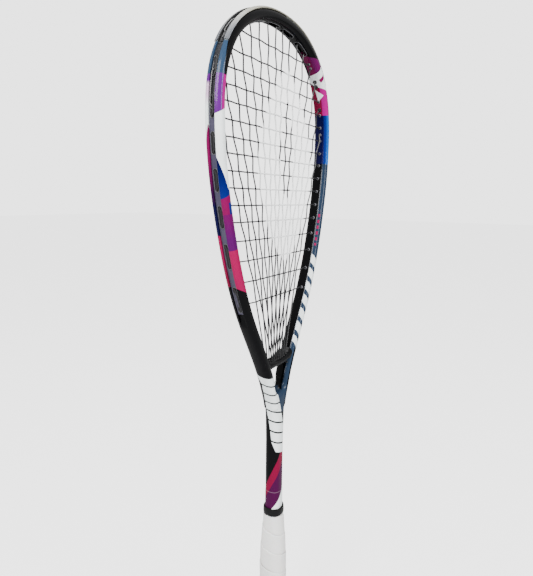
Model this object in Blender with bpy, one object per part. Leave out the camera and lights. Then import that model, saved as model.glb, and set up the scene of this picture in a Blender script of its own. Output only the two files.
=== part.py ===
"""Squash racket: moulded hairpin frame, fan-strung bed, grommet strips and a wrapped handle.

Z runs from the butt end up to the tip of the head, X across the head, Y through the strings.
Lengths in this file are millimetres; add_body() turns them into metres.
"""

import math

import bmesh
import bpy
import numpy as np

# ------------------------------------------------------------------ frame
RIM = (  # half width and height of the beam's middle line, from the tip down to the throat
    (0.0, 679.5), (28.5, 676.7), (55.4, 667.0), (78.0, 649.7), (92.6, 625.7), (98.4, 599.3),
    (98.8, 574.3), (94.7, 535.0), (87.4, 501.0), (75.5, 460.0), (53.2, 408.0), (40.5, 385.5),
    (28.0, 363.0), (19.6, 346.3), (13.0, 330.0), (8.6, 318.0), (5.9, 308.0),
)
BEAM_HALF_WIDTH = 5.4       # in the plane of the strings
BEAM_HALF_DEPTH = 8.2
BEAM_POWER = 2.4            # superellipse exponent of the beam
GROOVE_FLOOR = 2.6          # distance of the groove's floor from the beam's middle line
GROOVE_HALF = 3.1
GROOVE_LIP_HALF = 3.4
GROOVE_END = 416.0          # the groove runs out just below the lowest cross
RIM_RINGS = 68
SHAFT_SECTIONS = (  # height, half width, half depth of the shaft and the web of the throat
    (5.0, 8.7, 8.3), (272.0, 8.7, 8.3), (288.0, 9.3, 8.35), (300.0, 10.4, 8.4), (308.0, 11.5, 8.4),
    (318.0, 12.6, 8.15), (328.0, 14.2, 7.9), (335.5, 15.6, 7.7),
)
CROTCH_HEIGHT = 335.5       # middle of the round that the throat opening ends in
CROTCH_SECTIONS = (  # depth and radius of the cutter that rounds it
    (-10.5, 19.0), (-8.4, 15.4), (-7.4, 12.9), (-6.0, 11.5), (-4.0, 10.7), (0.0, 10.25),
    (4.0, 10.7), (6.0, 11.5), (7.4, 12.9), (8.4, 15.4), (10.5, 19.0),
)

# ------------------------------------------------------------------ throat bridge
BRIDGE_TOP = 360.0          # heights of its two faces in the middle
BRIDGE_BOTTOM = 355.3
BRIDGE_TOP_RISE = 7.2       # added to the top at BRIDGE_REACH from the middle
BRIDGE_BOTTOM_DROP = 0.9
BRIDGE_REACH = 30.0
BRIDGE_HALF_DEPTH = 7.6

# ------------------------------------------------------------------ strings
STRING_RADIUS = 0.58
WEAVE = 0.76                # how far a string leaves the middle plane where it crosses another
MAINS = 16
MAIN_TOP_OFFSETS = (5.8, 19.7, 33.8, 48.4, 63.9, 80.2, 97.5, 115.4)   # at the first cross
MAIN_LOW_PITCH = 1.95       # at the bridge
MAIN_LOW_HEIGHT = 361.2
MAIN_ROW = 3.5              # the mains leave the bridge in two rows
CROSS_TOP = 655.0
CROSS_GAPS = (17.0, 14.0, 13.5, 13.0, 14.0, 13.5, 13.0, 14.0, 14.0, 14.5, 14.5, 16.5, 18.0, 19.5, 20.5)
OUTER_HOLES = (590.4, 617.1)   # heights of the top holes of the first and second main
CORNER_SPREAD = 3.0         # the fourth main and the first cross meet the beam together: moved apart
LANE = 1.45                 # loops keep to one side of the groove, mains +Y and crosses -Y
STRING_SEAT = 4.38

# ------------------------------------------------------------------ grommets
HOLE_RADIUS = 1.48
BARREL_RADIUS = 1.22
BARREL_BORE = 0.86
BARREL_TIP = -6.3
PORT_PAIRS = ((5, 6), (7, 8), (9, 10), (11, 12))   # these mains leave the head in pairs, through oblong ports
PORT_END = 3.4              # how far a port reaches past its two holes
PORT_HALF = 2.9
PORT_FLOOR = -3.3
STRIP_HALF = 2.82
STRIP_LOW, STRIP_HIGH = 2.85, 3.6
BUMPER_END = 638.3
STRIP_START = 637.3
STRIP_END = 419.5
BUMPER_TAPER = 75.0         # the guard thins out over this length towards each end

# ------------------------------------------------------------------ handle
GRIP_SHAPE = (  # height, half width, half depth of the outside of the wrap
    (3.2, 14.4, 15.4), (12.0, 13.7, 14.9), (30.0, 13.2, 14.6), (124.0, 13.2, 14.5), (146.0, 12.7, 13.7),
    (164.0, 11.9, 12.4), (182.0, 10.75, 10.85), (187.8, 10.5, 10.5),
)
GRIP_POWER = 2.3
WRAP_THICK = 1.45
WRAP_STEP = 0.45
WRAP_PITCH = 22.17
WRAP_BOTTOM, WRAP_TOP = 3.3, 187.8
WRAP_SIDES = 20
FIT = 0.28                  # gap left between neighbouring pieces
COLLAR_BOTTOM, COLLAR_TOP = 188.1, 196.6
TAPE_BOTTOM, TAPE_TOP = 188.5, 215.4
SHELL_TOP = 168.0


def clear_scene():
    for obj in list(bpy.data.objects):
        bpy.data.objects.remove(obj, do_unlink=True)


def material(name, colour, roughness, metallic=0.0):
    made = bpy.data.materials.new(name)
    made.use_nodes = True
    shader = made.node_tree.nodes["Principled BSDF"]
    shader.inputs["Base Color"].default_value = (*colour, 1.0)
    shader.inputs["Roughness"].default_value = roughness
    shader.inputs["Metallic"].default_value = metallic
    made.diffuse_color = (*colour, 1.0)
    return made


def add_body(name, points, faces, mat=None, helper=False):
    """A mesh object from points in millimetres, faces turned outwards."""
    mesh = bpy.data.meshes.new(name)
    mesh.from_pydata([(x * 0.001, y * 0.001, z * 0.001) for x, y, z in points], [], faces)
    work = bmesh.new()
    work.from_mesh(mesh)
    bmesh.ops.remove_doubles(work, verts=work.verts, dist=1e-6)
    bmesh.ops.recalc_face_normals(work, faces=work.faces)
    if work.calc_volume(signed=True) < 0:
        bmesh.ops.reverse_faces(work, faces=work.faces)
    work.to_mesh(mesh)
    work.free()
    obj = bpy.data.objects.new(name, mesh)
    bpy.context.scene.collection.objects.link(obj)
    if helper:
        obj.hide_render = True
        obj.display_type = "WIRE"
    else:
        mesh.materials.append(mat)
        finish(mesh)
    return obj


def finish(mesh, sharp=40.0):
    for face in mesh.polygons:
        face.use_smooth = True
    mesh.set_sharp_from_angle(angle=math.radians(sharp))


def combine(obj, cutter, operation):
    """Carries out one exact Boolean and drops the helper."""
    step = obj.modifiers.new(operation.lower(), "BOOLEAN")
    step.operation = operation
    step.solver = "EXACT"
    step.object = cutter
    bpy.context.view_layer.update()
    graph = bpy.context.evaluated_depsgraph_get()
    mesh = bpy.data.meshes.new_from_object(obj.evaluated_get(graph))
    obj.modifiers.clear()
    old, obj.data = obj.data, mesh
    bpy.data.meshes.remove(old)
    bpy.data.objects.remove(cutter, do_unlink=True)
    mesh.name = obj.name
    finish(mesh)


def loft(rings, closed=False):
    """Points and faces of a skin over equal rings, with flat ends unless the path closes."""
    count, size = len(rings), len(rings[0])
    points = [p for ring in rings for p in ring]
    faces = []
    for i in range(count if closed else count - 1):
        a, b = i * size, (i + 1) % count * size
        faces += [(a + j, a + (j + 1) % size, b + (j + 1) % size, b + j) for j in range(size)]
    if not closed:
        faces += [tuple(range(size)), tuple(range((count - 1) * size, count * size))]
    return points, faces


def joined(bodies):
    points, faces = [], []
    for body_points, body_faces in bodies:
        start = len(points)
        points += body_points
        faces += [tuple(start + k for k in face) for face in body_faces]
    return points, faces


def oval(half_x, half_y, power, count, grow=0.0):
    """Points of a superellipse, from +X anticlockwise."""
    ring = []
    for k in range(count):
        c, s = math.cos(2 * math.pi * k / count), math.sin(2 * math.pi * k / count)
        ring.append((
            (half_x + grow) * math.copysign(abs(c) ** (2 / power), c),
            (half_y + grow) * math.copysign(abs(s) ** (2 / power), s),
        ))
    return ring


def between(table, height):
    """Half width and half depth at a height, from rows of (height, half width, half depth)."""
    levels = [row[0] for row in table]
    return tuple(float(np.interp(height, levels, [row[k] for row in table])) for k in (1, 2))


# ------------------------------------------------------------------ the beam's middle line
def smooth_line(knots, count):
    """A natural cubic spline through the knots, read at `count` even steps."""
    knots = np.array(knots, float)
    t = np.concatenate([[0], np.cumsum(np.linalg.norm(np.diff(knots, axis=0), axis=1))])
    size, gap = len(t), np.diff(t)
    system, right = np.eye(size), np.zeros((size, 2))
    for i in range(1, size - 1):
        system[i, i - 1:i + 2] = gap[i - 1], 2 * (gap[i - 1] + gap[i]), gap[i]
        right[i] = 6 * ((knots[i + 1] - knots[i]) / gap[i] - (knots[i] - knots[i - 1]) / gap[i - 1])
    bend = np.linalg.solve(system, right)
    dense = []
    for u in np.linspace(0, t[-1], 6001):
        i = min(int(np.searchsorted(t, u, "right")) - 1, size - 2)
        h, a, b = gap[i], t[i + 1] - u, u - t[i]
        dense.append((bend[i] * a ** 3 + bend[i + 1] * b ** 3) / (6 * h)
                     + (knots[i] / h - bend[i] * h / 6) * a + (knots[i + 1] / h - bend[i + 1] * h / 6) * b)
    dense = np.array(dense)
    run = np.concatenate([[0], np.cumsum(np.linalg.norm(np.diff(dense, axis=0), axis=1))])
    even = np.linspace(0, run[-1], count)
    return np.stack([np.interp(even, run, dense[:, 0]), np.interp(even, run, dense[:, 1])], 1), run[-1]


LEFT_TO_RIGHT = [(-x, z) for x, z in RIM[:0:-1]] + list(RIM)
LINE, LINE_LENGTH = smooth_line(LEFT_TO_RIGHT, 4001)
TANGENT = np.gradient(LINE, axis=0)
TANGENT /= np.linalg.norm(TANGENT, axis=1)[:, None]
NORMAL = np.stack([-TANGENT[:, 1], TANGENT[:, 0]], 1)      # points away from the strings
STATIONS = np.linspace(0, LINE_LENGTH, len(LINE))


def station(s):
    """Middle point and outward direction of the beam at a distance s along it."""
    p = [float(np.interp(s, STATIONS, LINE[:, k])) for k in (0, 1)]
    n = [float(np.interp(s, STATIONS, NORMAL[:, k])) for k in (0, 1)]
    size = math.hypot(*n)
    return p, (n[0] / size, n[1] / size)


def on_beam(s, out, y):
    (x, z), (nx, nz) = station(s)
    return (x + nx * out, y, z + nz * out)


def station_at_height(height, side, out=0.0):
    """Where the beam, or a line `out` from its middle, stands at a height on one side."""
    heights = LINE[:, 1] + NORMAL[:, 1] * out
    top = len(LINE) // 2
    if side < 0:
        return float(np.interp(height, heights[:top + 1], STATIONS[:top + 1]))
    return float(np.interp(-height, -heights[top:], STATIONS[top:]))


# ------------------------------------------------------------------ string layout
def main_x(i, height):
    """Across position of main i (1 to 16 from -X) at a height."""
    k = 8 - i if i <= 8 else i - 9
    low = MAIN_LOW_PITCH * (k + 0.5)
    share = (height - MAIN_LOW_HEIGHT) / (CROSS_TOP - MAIN_LOW_HEIGHT)
    return math.copysign(low + (MAIN_TOP_OFFSETS[k] - low) * share, -1 if i <= 8 else 1)


def cross_height(k):
    return CROSS_TOP - sum(CROSS_GAPS[:k - 1])


def main_station(i):
    """Where main i passes the top of the head."""
    side = -1 if i <= 8 else 1
    outer = i if i <= 8 else MAINS + 1 - i
    if outer <= 2:
        return station_at_height(OUTER_HOLES[outer - 1], side)
    inner = LINE - NORMAL * BEAM_HALF_WIDTH
    upper = [j for j in range(len(LINE)) if inner[j, 1] > OUTER_HOLES[1] and inner[j, 0] * side > -1]
    j = min(upper, key=lambda j: abs(inner[j, 0] - main_x(i, inner[j, 1])))
    return float(STATIONS[j])


MAIN_STATIONS = {i: main_station(i) for i in range(1, MAINS + 1)}
CROSS_STATIONS = {
    (k, side): station_at_height(cross_height(k), side, -BEAM_HALF_WIDTH)
    for k in range(1, 17) for side in (-1, 1)
}
for main, side in ((4, -1), (13, 1)):
    MAIN_STATIONS[main] += CORNER_SPREAD * side
    CROSS_STATIONS[1, side] -= CORNER_SPREAD * side


def bridge_height(x, level):
    """Height of the bridge's top (level 1) or bottom (level -1)."""
    bow = (x / BRIDGE_REACH) ** 2
    return BRIDGE_TOP + BRIDGE_TOP_RISE * bow if level > 0 else BRIDGE_BOTTOM - BRIDGE_BOTTOM_DROP * bow


def tube(path, radius, sides=4, swell=()):
    """A closed tube along a path. `swell` maps a point's index to another radius."""
    path = np.array(path, float)
    steps = np.diff(path, axis=0)
    steps /= np.linalg.norm(steps, axis=1)[:, None]
    side = np.array([1.0, 0.0, 0.0] if abs(steps[0][1]) > 0.9 else [0.0, 1.0, 0.0])
    side -= steps[0] * side.dot(steps[0])
    side /= np.linalg.norm(side)
    swell, rings = dict(swell), []
    for k, middle in enumerate(path):
        before, after = steps[max(k - 1, 0)], steps[min(k, len(steps) - 1)]
        along = before + after
        along /= np.linalg.norm(along)
        side = side - along * side.dot(along)
        side /= np.linalg.norm(side)
        other = np.cross(along, side)
        size = swell.get(k, radius)
        rings.append([
            tuple(middle + size * (math.cos(a) * side + math.sin(a) * other))
            for a in (2 * math.pi * (j + 0.5) / sides for j in range(sides))
        ])
    return loft(rings)


def groove_loop(start, end, lane):
    """Points of a string that leaves one hole, lies in the groove and goes in at the next."""
    way = 1 if end > start else -1
    first, last = start + 2.0 * way, end - 2.0 * way
    count = max(2, 1 + round(abs(last - first) / 7.0))
    points = [on_beam(start, STRING_SEAT, 0.0)]
    points += [on_beam(s, STRING_SEAT, lane) for s in np.linspace(first, last, count)]
    return points + [on_beam(end, STRING_SEAT, 0.0)]


def main_run(i):
    """Main i from the head down to the throat."""
    s = MAIN_STATIONS[i]
    points = [on_beam(s, BARREL_TIP - 0.8, 0.0)]
    for k in range(1, 17):
        height = cross_height(k)
        x = main_x(i, height)
        if height > points[0][2] - 2.0:
            continue
        points.append((x, -WEAVE if (i + k) % 2 == 0 else WEAVE, height))
    row = -MAIN_ROW if i % 2 == 0 else MAIN_ROW
    x = main_x(i, MAIN_LOW_HEIGHT)
    points.append((x, row, bridge_height(x, 1) + 1.9))
    points.append((x, row, bridge_height(x, -1) - 2.0))
    return points


def cross_run(k):
    """Cross k from -X to +X, over and under the mains that reach its height."""
    height = cross_height(k)
    points = [on_beam(CROSS_STATIONS[k, -1], BARREL_TIP - 0.8, 0.0)]
    for i in range(1, MAINS + 1):
        if height <= on_beam(MAIN_STATIONS[i], BARREL_TIP - 0.8, 0.0)[2] - 2.0:
            points.append((main_x(i, height), WEAVE if (i + k) % 2 == 0 else -WEAVE, height))
    return points + [on_beam(CROSS_STATIONS[k, 1], BARREL_TIP - 0.8, 0.0)]


def main_string_path():
    """All sixteen mains as one string, tied off below the bridge at both ends."""
    path = []
    for i in range(1, MAINS + 1):
        down = main_run(i)
        if i % 2:
            path += down[::-1]
            path += groove_loop(MAIN_STATIONS[i], MAIN_STATIONS[i + 1], LANE)
        else:
            path += down
    return path


def cross_string_path():
    """All sixteen crosses as one string, with both ends on the +X side."""
    path = []
    for k in range(1, 17):
        run = cross_run(k)
        path += run[::-1] if k % 2 else run
        if k < 16:
            side = -1 if k % 2 else 1
            path += groove_loop(CROSS_STATIONS[k, side], CROSS_STATIONS[k + 1, side], -LANE)
    start = [on_beam(CROSS_STATIONS[1, 1], out, 0.0) for out in (5.6, 4.6, 3.9)]
    end = [on_beam(CROSS_STATIONS[16, 1], out, 0.0) for out in (3.9, 4.6, 5.6)]
    return start + path + end


# ------------------------------------------------------------------ frame
def beam_section(groove, grow=0.0):
    """(outward, depth) points of the beam. `groove` runs from 0, none, to 1, full depth."""
    half_w, half_d = BEAM_HALF_WIDTH + grow, BEAM_HALF_DEPTH + grow
    lip = math.degrees(math.asin((GROOVE_LIP_HALF / half_d) ** (BEAM_POWER / 2)))
    upper = []
    for angle in (lip, 37, 56, 74, 90, 108, 127, 147, 165):
        c, s = math.cos(math.radians(angle)), math.sin(math.radians(angle))
        upper.append((half_w * math.copysign(abs(c) ** (2 / BEAM_POWER), c), half_d * s ** (2 / BEAM_POWER)))
    floor = half_w - (half_w - GROOVE_FLOOR) * groove
    return ([(floor, GROOVE_HALF)] + upper + [(-half_w, 0.0)]
            + [(r, -y) for r, y in upper[::-1]] + [(floor, -GROOVE_HALF)])


def swept(section_at, first, last, count):
    """A skin along the beam from station `first` to `last`."""
    rings = []
    for s in np.linspace(first, last, count):
        rings.append([on_beam(s, out, y) for out, y in section_at(s)])
    return loft(rings)


def groove_depth(s):
    height = station(s)[0][1]
    share = min(1.0, max(0.0, (height - GROOVE_END) / 9.0 + 1.0))
    return share * share * (3 - 2 * share)


def peg(base, tip, radius, sides=6):
    """A straight cylinder between two points."""
    return tube([base, tip], radius, sides)


def pegs_through_beam(stations, radius, start, end, sides=6):
    return joined([peg(on_beam(s, start, 0.0), on_beam(s, end, 0.0), radius, sides) for s in stations])


def port_cutters():
    """Oblong blocks that sink the ports into the inner face of the head."""
    made = []
    for a, b in PORT_PAIRS:
        middle = (MAIN_STATIONS[a] + MAIN_STATIONS[b]) / 2
        straight = abs(MAIN_STATIONS[a] - MAIN_STATIONS[b]) / 2 + PORT_END - PORT_HALF
        outline = []
        for way in (1, -1):
            turn = [math.radians(angle) for angle in range(-90, 91, 30)]
            outline += [(way * (straight + PORT_HALF * math.cos(a)), way * PORT_HALF * math.sin(a)) for a in turn]
            outline += [(way * straight * share, way * PORT_HALF) for share in (0.4, -0.4)]
        made.append(loft([[on_beam(middle + s, out, y) for s, y in outline] for out in (PORT_FLOOR, -8.5)]))
    return joined(made)


def bridge_pegs(radius, low, high, sides=6):
    """Cylinders at the sixteen bridge holes; low and high are added to its faces."""
    made = []
    for i in range(1, MAINS + 1):
        x, row = main_x(i, MAIN_LOW_HEIGHT), -MAIN_ROW if i % 2 == 0 else MAIN_ROW
        made.append(peg((x, row, bridge_height(x, -1) + low), (x, row, bridge_height(x, 1) + high), radius, sides))
    return joined(made)


def build_frame(mat):
    frame = add_body("frame", *swept(lambda s: beam_section(groove_depth(s)), 0, LINE_LENGTH, RIM_RINGS), mat)
    rings = []
    for height, half_x, half_y in SHAFT_SECTIONS:
        rings.append([(x, y, height) for x, y in oval(half_x, half_y, 2.5, 24)])
    combine(frame, add_body("shaft_blank", *loft(rings), helper=True), "UNION")
    rings = []
    for depth, radius in CROTCH_SECTIONS:
        rings.append([(x, depth, CROTCH_HEIGHT + z) for x, z in oval(radius, radius, 2.0, 28)])
    combine(frame, add_body("crotch_cut", *loft(rings), helper=True), "DIFFERENCE")
    combine(frame, add_body("port_blanks", *port_cutters(), helper=True), "DIFFERENCE")
    holes = list(MAIN_STATIONS.values()) + list(CROSS_STATIONS.values())
    combine(frame, add_body("frame_drill", *pegs_through_beam(holes, HOLE_RADIUS, -9.0, 9.0), helper=True),
            "DIFFERENCE")
    return frame


def build_bridge(mat):
    rings = []
    for x in np.linspace(-BRIDGE_REACH * 0.8, BRIDGE_REACH * 0.8, 9):
        high, low = bridge_height(x, 1), bridge_height(x, -1)
        middle, half = (high + low) / 2, (high - low) / 2
        rings.append([(x, y, middle + z) for y, z in oval(BRIDGE_HALF_DEPTH, half, 2.8, 20)])
    bridge = add_body("throat_bridge", *loft(rings), mat)
    for first, last in ((0, 140.0), (LINE_LENGTH - 140.0, LINE_LENGTH)):
        blank = swept(lambda s: beam_section(0.0, FIT), first, last, 20)
        combine(bridge, add_body("arm_blank", *blank, helper=True), "DIFFERENCE")
    combine(bridge, add_body("bridge_drill", *bridge_pegs(HOLE_RADIUS, -4.0, 4.0), helper=True), "DIFFERENCE")
    return bridge


# ------------------------------------------------------------------ grommets
def grommet_body(name, skin, stations, mat):
    """A strip with barrels through the beam, bored for the string."""
    strip = add_body(name, *skin, mat)
    ported = [MAIN_STATIONS[i] for pair in PORT_PAIRS for i in pair]
    start = (STRIP_LOW + STRIP_HIGH) / 2
    for tip, held in ((BARREL_TIP, [s for s in stations if s not in ported]),
                      (PORT_FLOOR - 0.4, [s for s in stations if s in ported])):
        if held:
            barrels = pegs_through_beam(held, BARREL_RADIUS, start, tip)
            combine(strip, add_body("barrels", *barrels, helper=True), "UNION")
    bores = pegs_through_beam(stations, BARREL_BORE, 9.0, -9.0)
    combine(strip, add_body("bores", *bores, helper=True), "DIFFERENCE")
    return strip


def bumper_section(s):
    """Two wings over the beam's edges joined in the groove, thinner towards the guard's ends."""
    from_end = min(abs(s - station_at_height(BUMPER_END, side)) for side in (-1, 1))
    share = min(1.0, from_end / BUMPER_TAPER)
    share = share * share * (3 - 2 * share)
    thin = [(4.34, 7.08), (5.3, 5.12), (5.74, 3.7), (5.7, 2.74)]
    full = [(4.85, 7.5), (5.9, 5.7), (6.5, 4.0), (6.35, 2.6)]
    outer = [(a + (c - a) * share, b + (d - b) * share) for (a, b), (c, d) in zip(thin, full)]
    wing = [(STRIP_LOW, STRIP_HALF), (5.0, 3.08), (5.42, 3.2), (4.97, 5.0), (4.05, 6.85)]
    wing += outer + [(STRIP_HIGH, 2.32)]
    return wing + [(r, -y) for r, y in wing[::-1]]


def strip_section(_):
    return [(STRIP_LOW, STRIP_HALF), (STRIP_LOW, -STRIP_HALF), (STRIP_HIGH, -STRIP_HALF + 0.25),
            (STRIP_HIGH, STRIP_HALF - 0.25)]


def build_grommets(mat_bumper, mat_strip):
    ends = [station_at_height(BUMPER_END, side) for side in (-1, 1)]
    holes = [s for s in list(MAIN_STATIONS.values()) + list(CROSS_STATIONS.values()) if ends[0] < s < ends[1]]
    grommet_body("bumper_guard", swept(bumper_section, *ends, 30), holes, mat_bumper)
    for name, side in (("grommet_strip_left", -1), ("grommet_strip_right", 1)):
        low, high = station_at_height(STRIP_END, side), station_at_height(STRIP_START, side)
        low, high = min(low, high), max(low, high)
        holes = [s for s in list(MAIN_STATIONS.values()) + list(CROSS_STATIONS.values()) if low < s < high]
        grommet_body(name, swept(strip_section, low, high, 32), holes, mat_strip)

    rings = []
    for x in np.linspace(-16.1, 16.1, 7):
        base = bridge_height(x, -1) - FIT
        rings.append([(x, y, base + z) for y, z in ((-5.2, 0), (5.2, 0), (5.2, -0.8), (-5.2, -0.8))])
    strip = add_body("bridge_grommet_strip", *loft(rings), mat_strip)
    combine(strip, add_body("barrels", *bridge_pegs(BARREL_RADIUS, -0.6, 0.9), helper=True), "UNION")
    combine(strip, add_body("bores", *bridge_pegs(BARREL_BORE, -4.0, 4.0), helper=True), "DIFFERENCE")


def build_strings(mat):
    path = main_string_path()
    head, tail = path[0], path[-1]
    knots = {}
    for end, order in ((head, -1), (tail, 1)):
        knot = [(end[0], end[1] * stretch, end[2] - 0.5) for stretch in (1.4, 1.65, 1.9)]
        path = knot[::-1] + path if order < 0 else path + knot
    last = len(path) - 1
    for k, radius in enumerate((0.5, 0.95, 0.9)):
        knots[k] = knots[last - k] = radius
    add_body("main_string", *tube(path, STRING_RADIUS, swell=knots), mat)
    path = cross_string_path()
    add_body("cross_string", *tube(path, STRING_RADIUS), mat)


# ------------------------------------------------------------------ handle
def pallet_size(height, grow=0.0):
    half_x, half_y = between(GRIP_SHAPE, height)
    inside = WRAP_THICK + FIT
    return half_x - inside + grow, half_y - inside + grow


def build_pallets(mat):
    """The handle's two shells around the shaft, parted in the plane of the strings."""
    heights = (16.2, 30.0, 124.0, 146.0, 164.0, SHELL_TOP)
    for name, side in (("handle_shell_front", -1), ("handle_shell_back", 1)):
        rings = []
        for height in heights:
            half_x, half_y = pallet_size(height)
            ring = []
            for grown, order in (((half_x, half_y, GRIP_POWER), 1), ((8.7 + FIT, 8.3 + FIT, 2.5), -1)):
                arc = []
                for k in range(13):
                    a = math.pi * k / 12
                    c, s = math.cos(a), math.sin(a)
                    arc.append((grown[0] * math.copysign(abs(c) ** (2 / grown[2]), c),
                                side * (0.15 + (grown[1] - 0.15) * abs(s) ** (2 / grown[2]))))
                ring += arc[::order]
            rings.append([(x, y, height) for x, y in ring])
        add_body(name, *loft(rings), mat)


def build_butt_cap(mat_cap, mat_badge):
    count = 24
    outline = [(0.0, 13.6, 14.6), (0.7, 14.3, 15.3), (2.4, 14.3, 15.3), (3.0, 13.9, 14.9)]
    rings = [[(x, y, z) for x, y in oval(a, b, GRIP_POWER, count)] for z, a, b in outline]
    for height in (3.02, 15.8):
        rings.append([(x, y, height) for x, y in oval(*pallet_size(max(height, 12.0)), GRIP_POWER, count)])
    for height in (15.8, 4.6):
        rings.append([(x, y, height) for x, y in oval(8.7 + FIT, 8.3 + FIT, 2.5, count)])
    cap = add_body("butt_cap", *loft(rings), mat_cap)
    recess = [[(x, y, z) for x, y in oval(9.3, 9.3, 2.0, count)] for z in (-1.0, 1.1)]
    combine(cap, add_body("badge_recess", *loft(recess), helper=True), "DIFFERENCE")
    badge = [[(x, y, z) for x, y in oval(r, r, 2.0, count)] for z, r in ((0.2, 8.7), (0.4, 9.0), (0.85, 9.0))]
    add_body("butt_badge", *loft(badge), mat_badge)


def build_wrap(mat):
    """The cushion tape as one skin: each turn comes out from under the one below and ends proud."""
    sides = WRAP_SIDES
    turns = (WRAP_TOP - WRAP_BOTTOM) / WRAP_PITCH
    last = sides + math.ceil(turns * sides - 1e-6)
    points, faces = [], []

    def spot(j, height, grow):
        a = -2 * math.pi * (j % sides) / sides
        c, s = math.cos(a), math.sin(a)
        half_x, half_y = between(GRIP_SHAPE, height)
        points.append(((half_x + grow) * math.copysign(abs(c) ** (2 / GRIP_POWER), c),
                       (half_y + grow) * math.copysign(abs(s) ** (2 / GRIP_POWER), s), height))
        return len(points) - 1

    def height_of(j):
        return min(WRAP_TOP, max(WRAP_BOTTOM, WRAP_BOTTOM + (j - sides) / sides * WRAP_PITCH))

    low = [spot(j, height_of(j), -WRAP_STEP) for j in range(last + 1)]
    proud = {j: spot(j, height_of(j), 0.0) for j in range(sides, last + sides + 1)}
    faces += [(low[j], low[j + 1], proud[j + 1], proud[j]) for j in range(sides, last)]
    faces += [(low[j], low[j + 1], proud[j + sides + 1], proud[j + sides]) for j in range(last)]
    inner = []
    for height in (WRAP_BOTTOM, 12.0, 30.0, 124.0, 146.0, 164.0, 182.0, WRAP_TOP):
        inner.append([spot(j, height, -WRAP_THICK) for j in range(sides)])
    for a, b in zip(inner, inner[1:]):
        faces += [(a[j], a[(j + 1) % sides], b[(j + 1) % sides], b[j]) for j in range(sides)]
    faces += [(inner[0][j], inner[0][(j + 1) % sides], low[j + 1], low[j]) for j in range(sides)]
    for j in range(last, last + sides):
        faces.append((inner[-1][j % sides], inner[-1][(j + 1) % sides], proud[j + 1], proud[j]))
    add_body("grip_wrap", points, faces, mat)


def sleeve(name, outside, inside, count, mat):
    """A tube from (height, half x, half y, power) rows, outside upwards then inside downwards."""
    rings = [[(x, y, z) for x, y in oval(a, b, power, count)] for z, a, b, power in outside + inside]
    return add_body(name, *loft(rings, closed=True), mat)


def build_collar(mat_collar, mat_tape):
    low, high = COLLAR_BOTTOM, COLLAR_TOP
    sleeve("grip_collar",
           [(low, 10.2, 10.3, 2.3), (low + 0.5, 10.55, 10.7, 2.3), (low + 4.5, 10.65, 10.75, 2.3),
            (high - 1.2, 10.45, 10.45, 2.35), (high - 0.3, 10.2, 10.0, 2.4), (high, 9.95, 9.6, 2.5)],
           [(high, 9.76, 9.36, 2.5), (low, 9.76, 9.36, 2.5)], 24, mat_collar)
    low, high = TAPE_BOTTOM, TAPE_TOP
    sleeve("finishing_tape",
           [(low, 9.46, 9.06, 2.5), (high - 9.0, 9.46, 9.06, 2.5), (high - 3.5, 9.26, 8.86, 2.5),
            (high, 9.18, 8.78, 2.5)],
           [(high, 8.9, 8.5, 2.5), (low, 8.9, 8.5, 2.5)], 24, mat_tape)


def main():
    clear_scene()
    lacquer = material("carbon_lacquer", (0.02, 0.02, 0.03), 0.15)
    clear_nylon = material("pale_nylon", (0.75, 0.76, 0.68), 0.3)
    grey_nylon = material("grey_nylon", (0.55, 0.56, 0.6), 0.35)
    string_black = material("string_black", (0.02, 0.02, 0.02), 0.35)
    shell = material("handle_foam", (0.55, 0.5, 0.4), 0.8)
    cap = material("cap_plastic", (0.03, 0.03, 0.03), 0.4)
    badge = material("badge_plastic", (0.6, 0.02, 0.2), 0.3)
    wrap = material("wrap_white", (0.88, 0.88, 0.86), 0.6)
    rubber = material("collar_rubber", (0.015, 0.015, 0.015), 0.3)
    tape = material("tape_black", (0.03, 0.03, 0.03), 0.5)
    build_frame(lacquer)
    build_bridge(lacquer)
    build_grommets(clear_nylon, grey_nylon)
    build_strings(string_black)
    build_pallets(shell)
    build_butt_cap(cap, badge)
    build_wrap(wrap)
    build_collar(rubber, tape)


main()
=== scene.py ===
"""Looks of the squash racket, laid over its CAD frame: skins, paint, strings, grip, studio and camera.

Lengths are millimetres in the axes of the CAD (Z up from the butt, X across the head, -Y front).
`along` is the distance from the tip down the beam; `turn` is the angle around it, 0 at the front of
the -X half and at the back of the +X half, so that the paint repeats after half a turn.
"""

import math

import bmesh
import bpy
import numpy as np
from mathutils import Matrix, Vector


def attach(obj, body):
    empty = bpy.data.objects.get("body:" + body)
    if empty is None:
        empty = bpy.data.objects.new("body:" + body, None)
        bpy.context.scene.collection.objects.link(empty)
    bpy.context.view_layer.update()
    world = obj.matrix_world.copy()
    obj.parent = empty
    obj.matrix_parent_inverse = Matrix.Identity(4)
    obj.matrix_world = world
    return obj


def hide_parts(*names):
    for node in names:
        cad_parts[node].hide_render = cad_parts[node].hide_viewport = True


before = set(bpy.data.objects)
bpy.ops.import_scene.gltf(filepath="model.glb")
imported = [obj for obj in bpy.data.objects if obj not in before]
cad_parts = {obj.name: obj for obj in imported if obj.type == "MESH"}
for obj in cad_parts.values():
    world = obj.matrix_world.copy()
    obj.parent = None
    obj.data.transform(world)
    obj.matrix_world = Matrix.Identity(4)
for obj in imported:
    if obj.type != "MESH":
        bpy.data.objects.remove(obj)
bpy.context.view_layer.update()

# ---- the CAD's own dimensions
RIM = (  # half width and height of the beam's middle line, from the tip down to the throat
    (0.0, 679.5), (28.5, 676.7), (55.4, 667.0), (78.0, 649.7), (92.6, 625.7), (98.4, 599.3),
    (98.8, 574.3), (94.7, 535.0), (87.4, 501.0), (75.5, 460.0), (53.2, 408.0), (40.5, 385.5),
    (28.0, 363.0), (19.6, 346.3), (13.0, 330.0), (8.6, 318.0), (5.9, 308.0),
)
BEAM_HALF_WIDTH = 5.4
BEAM_HALF_DEPTH = 8.2
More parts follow.
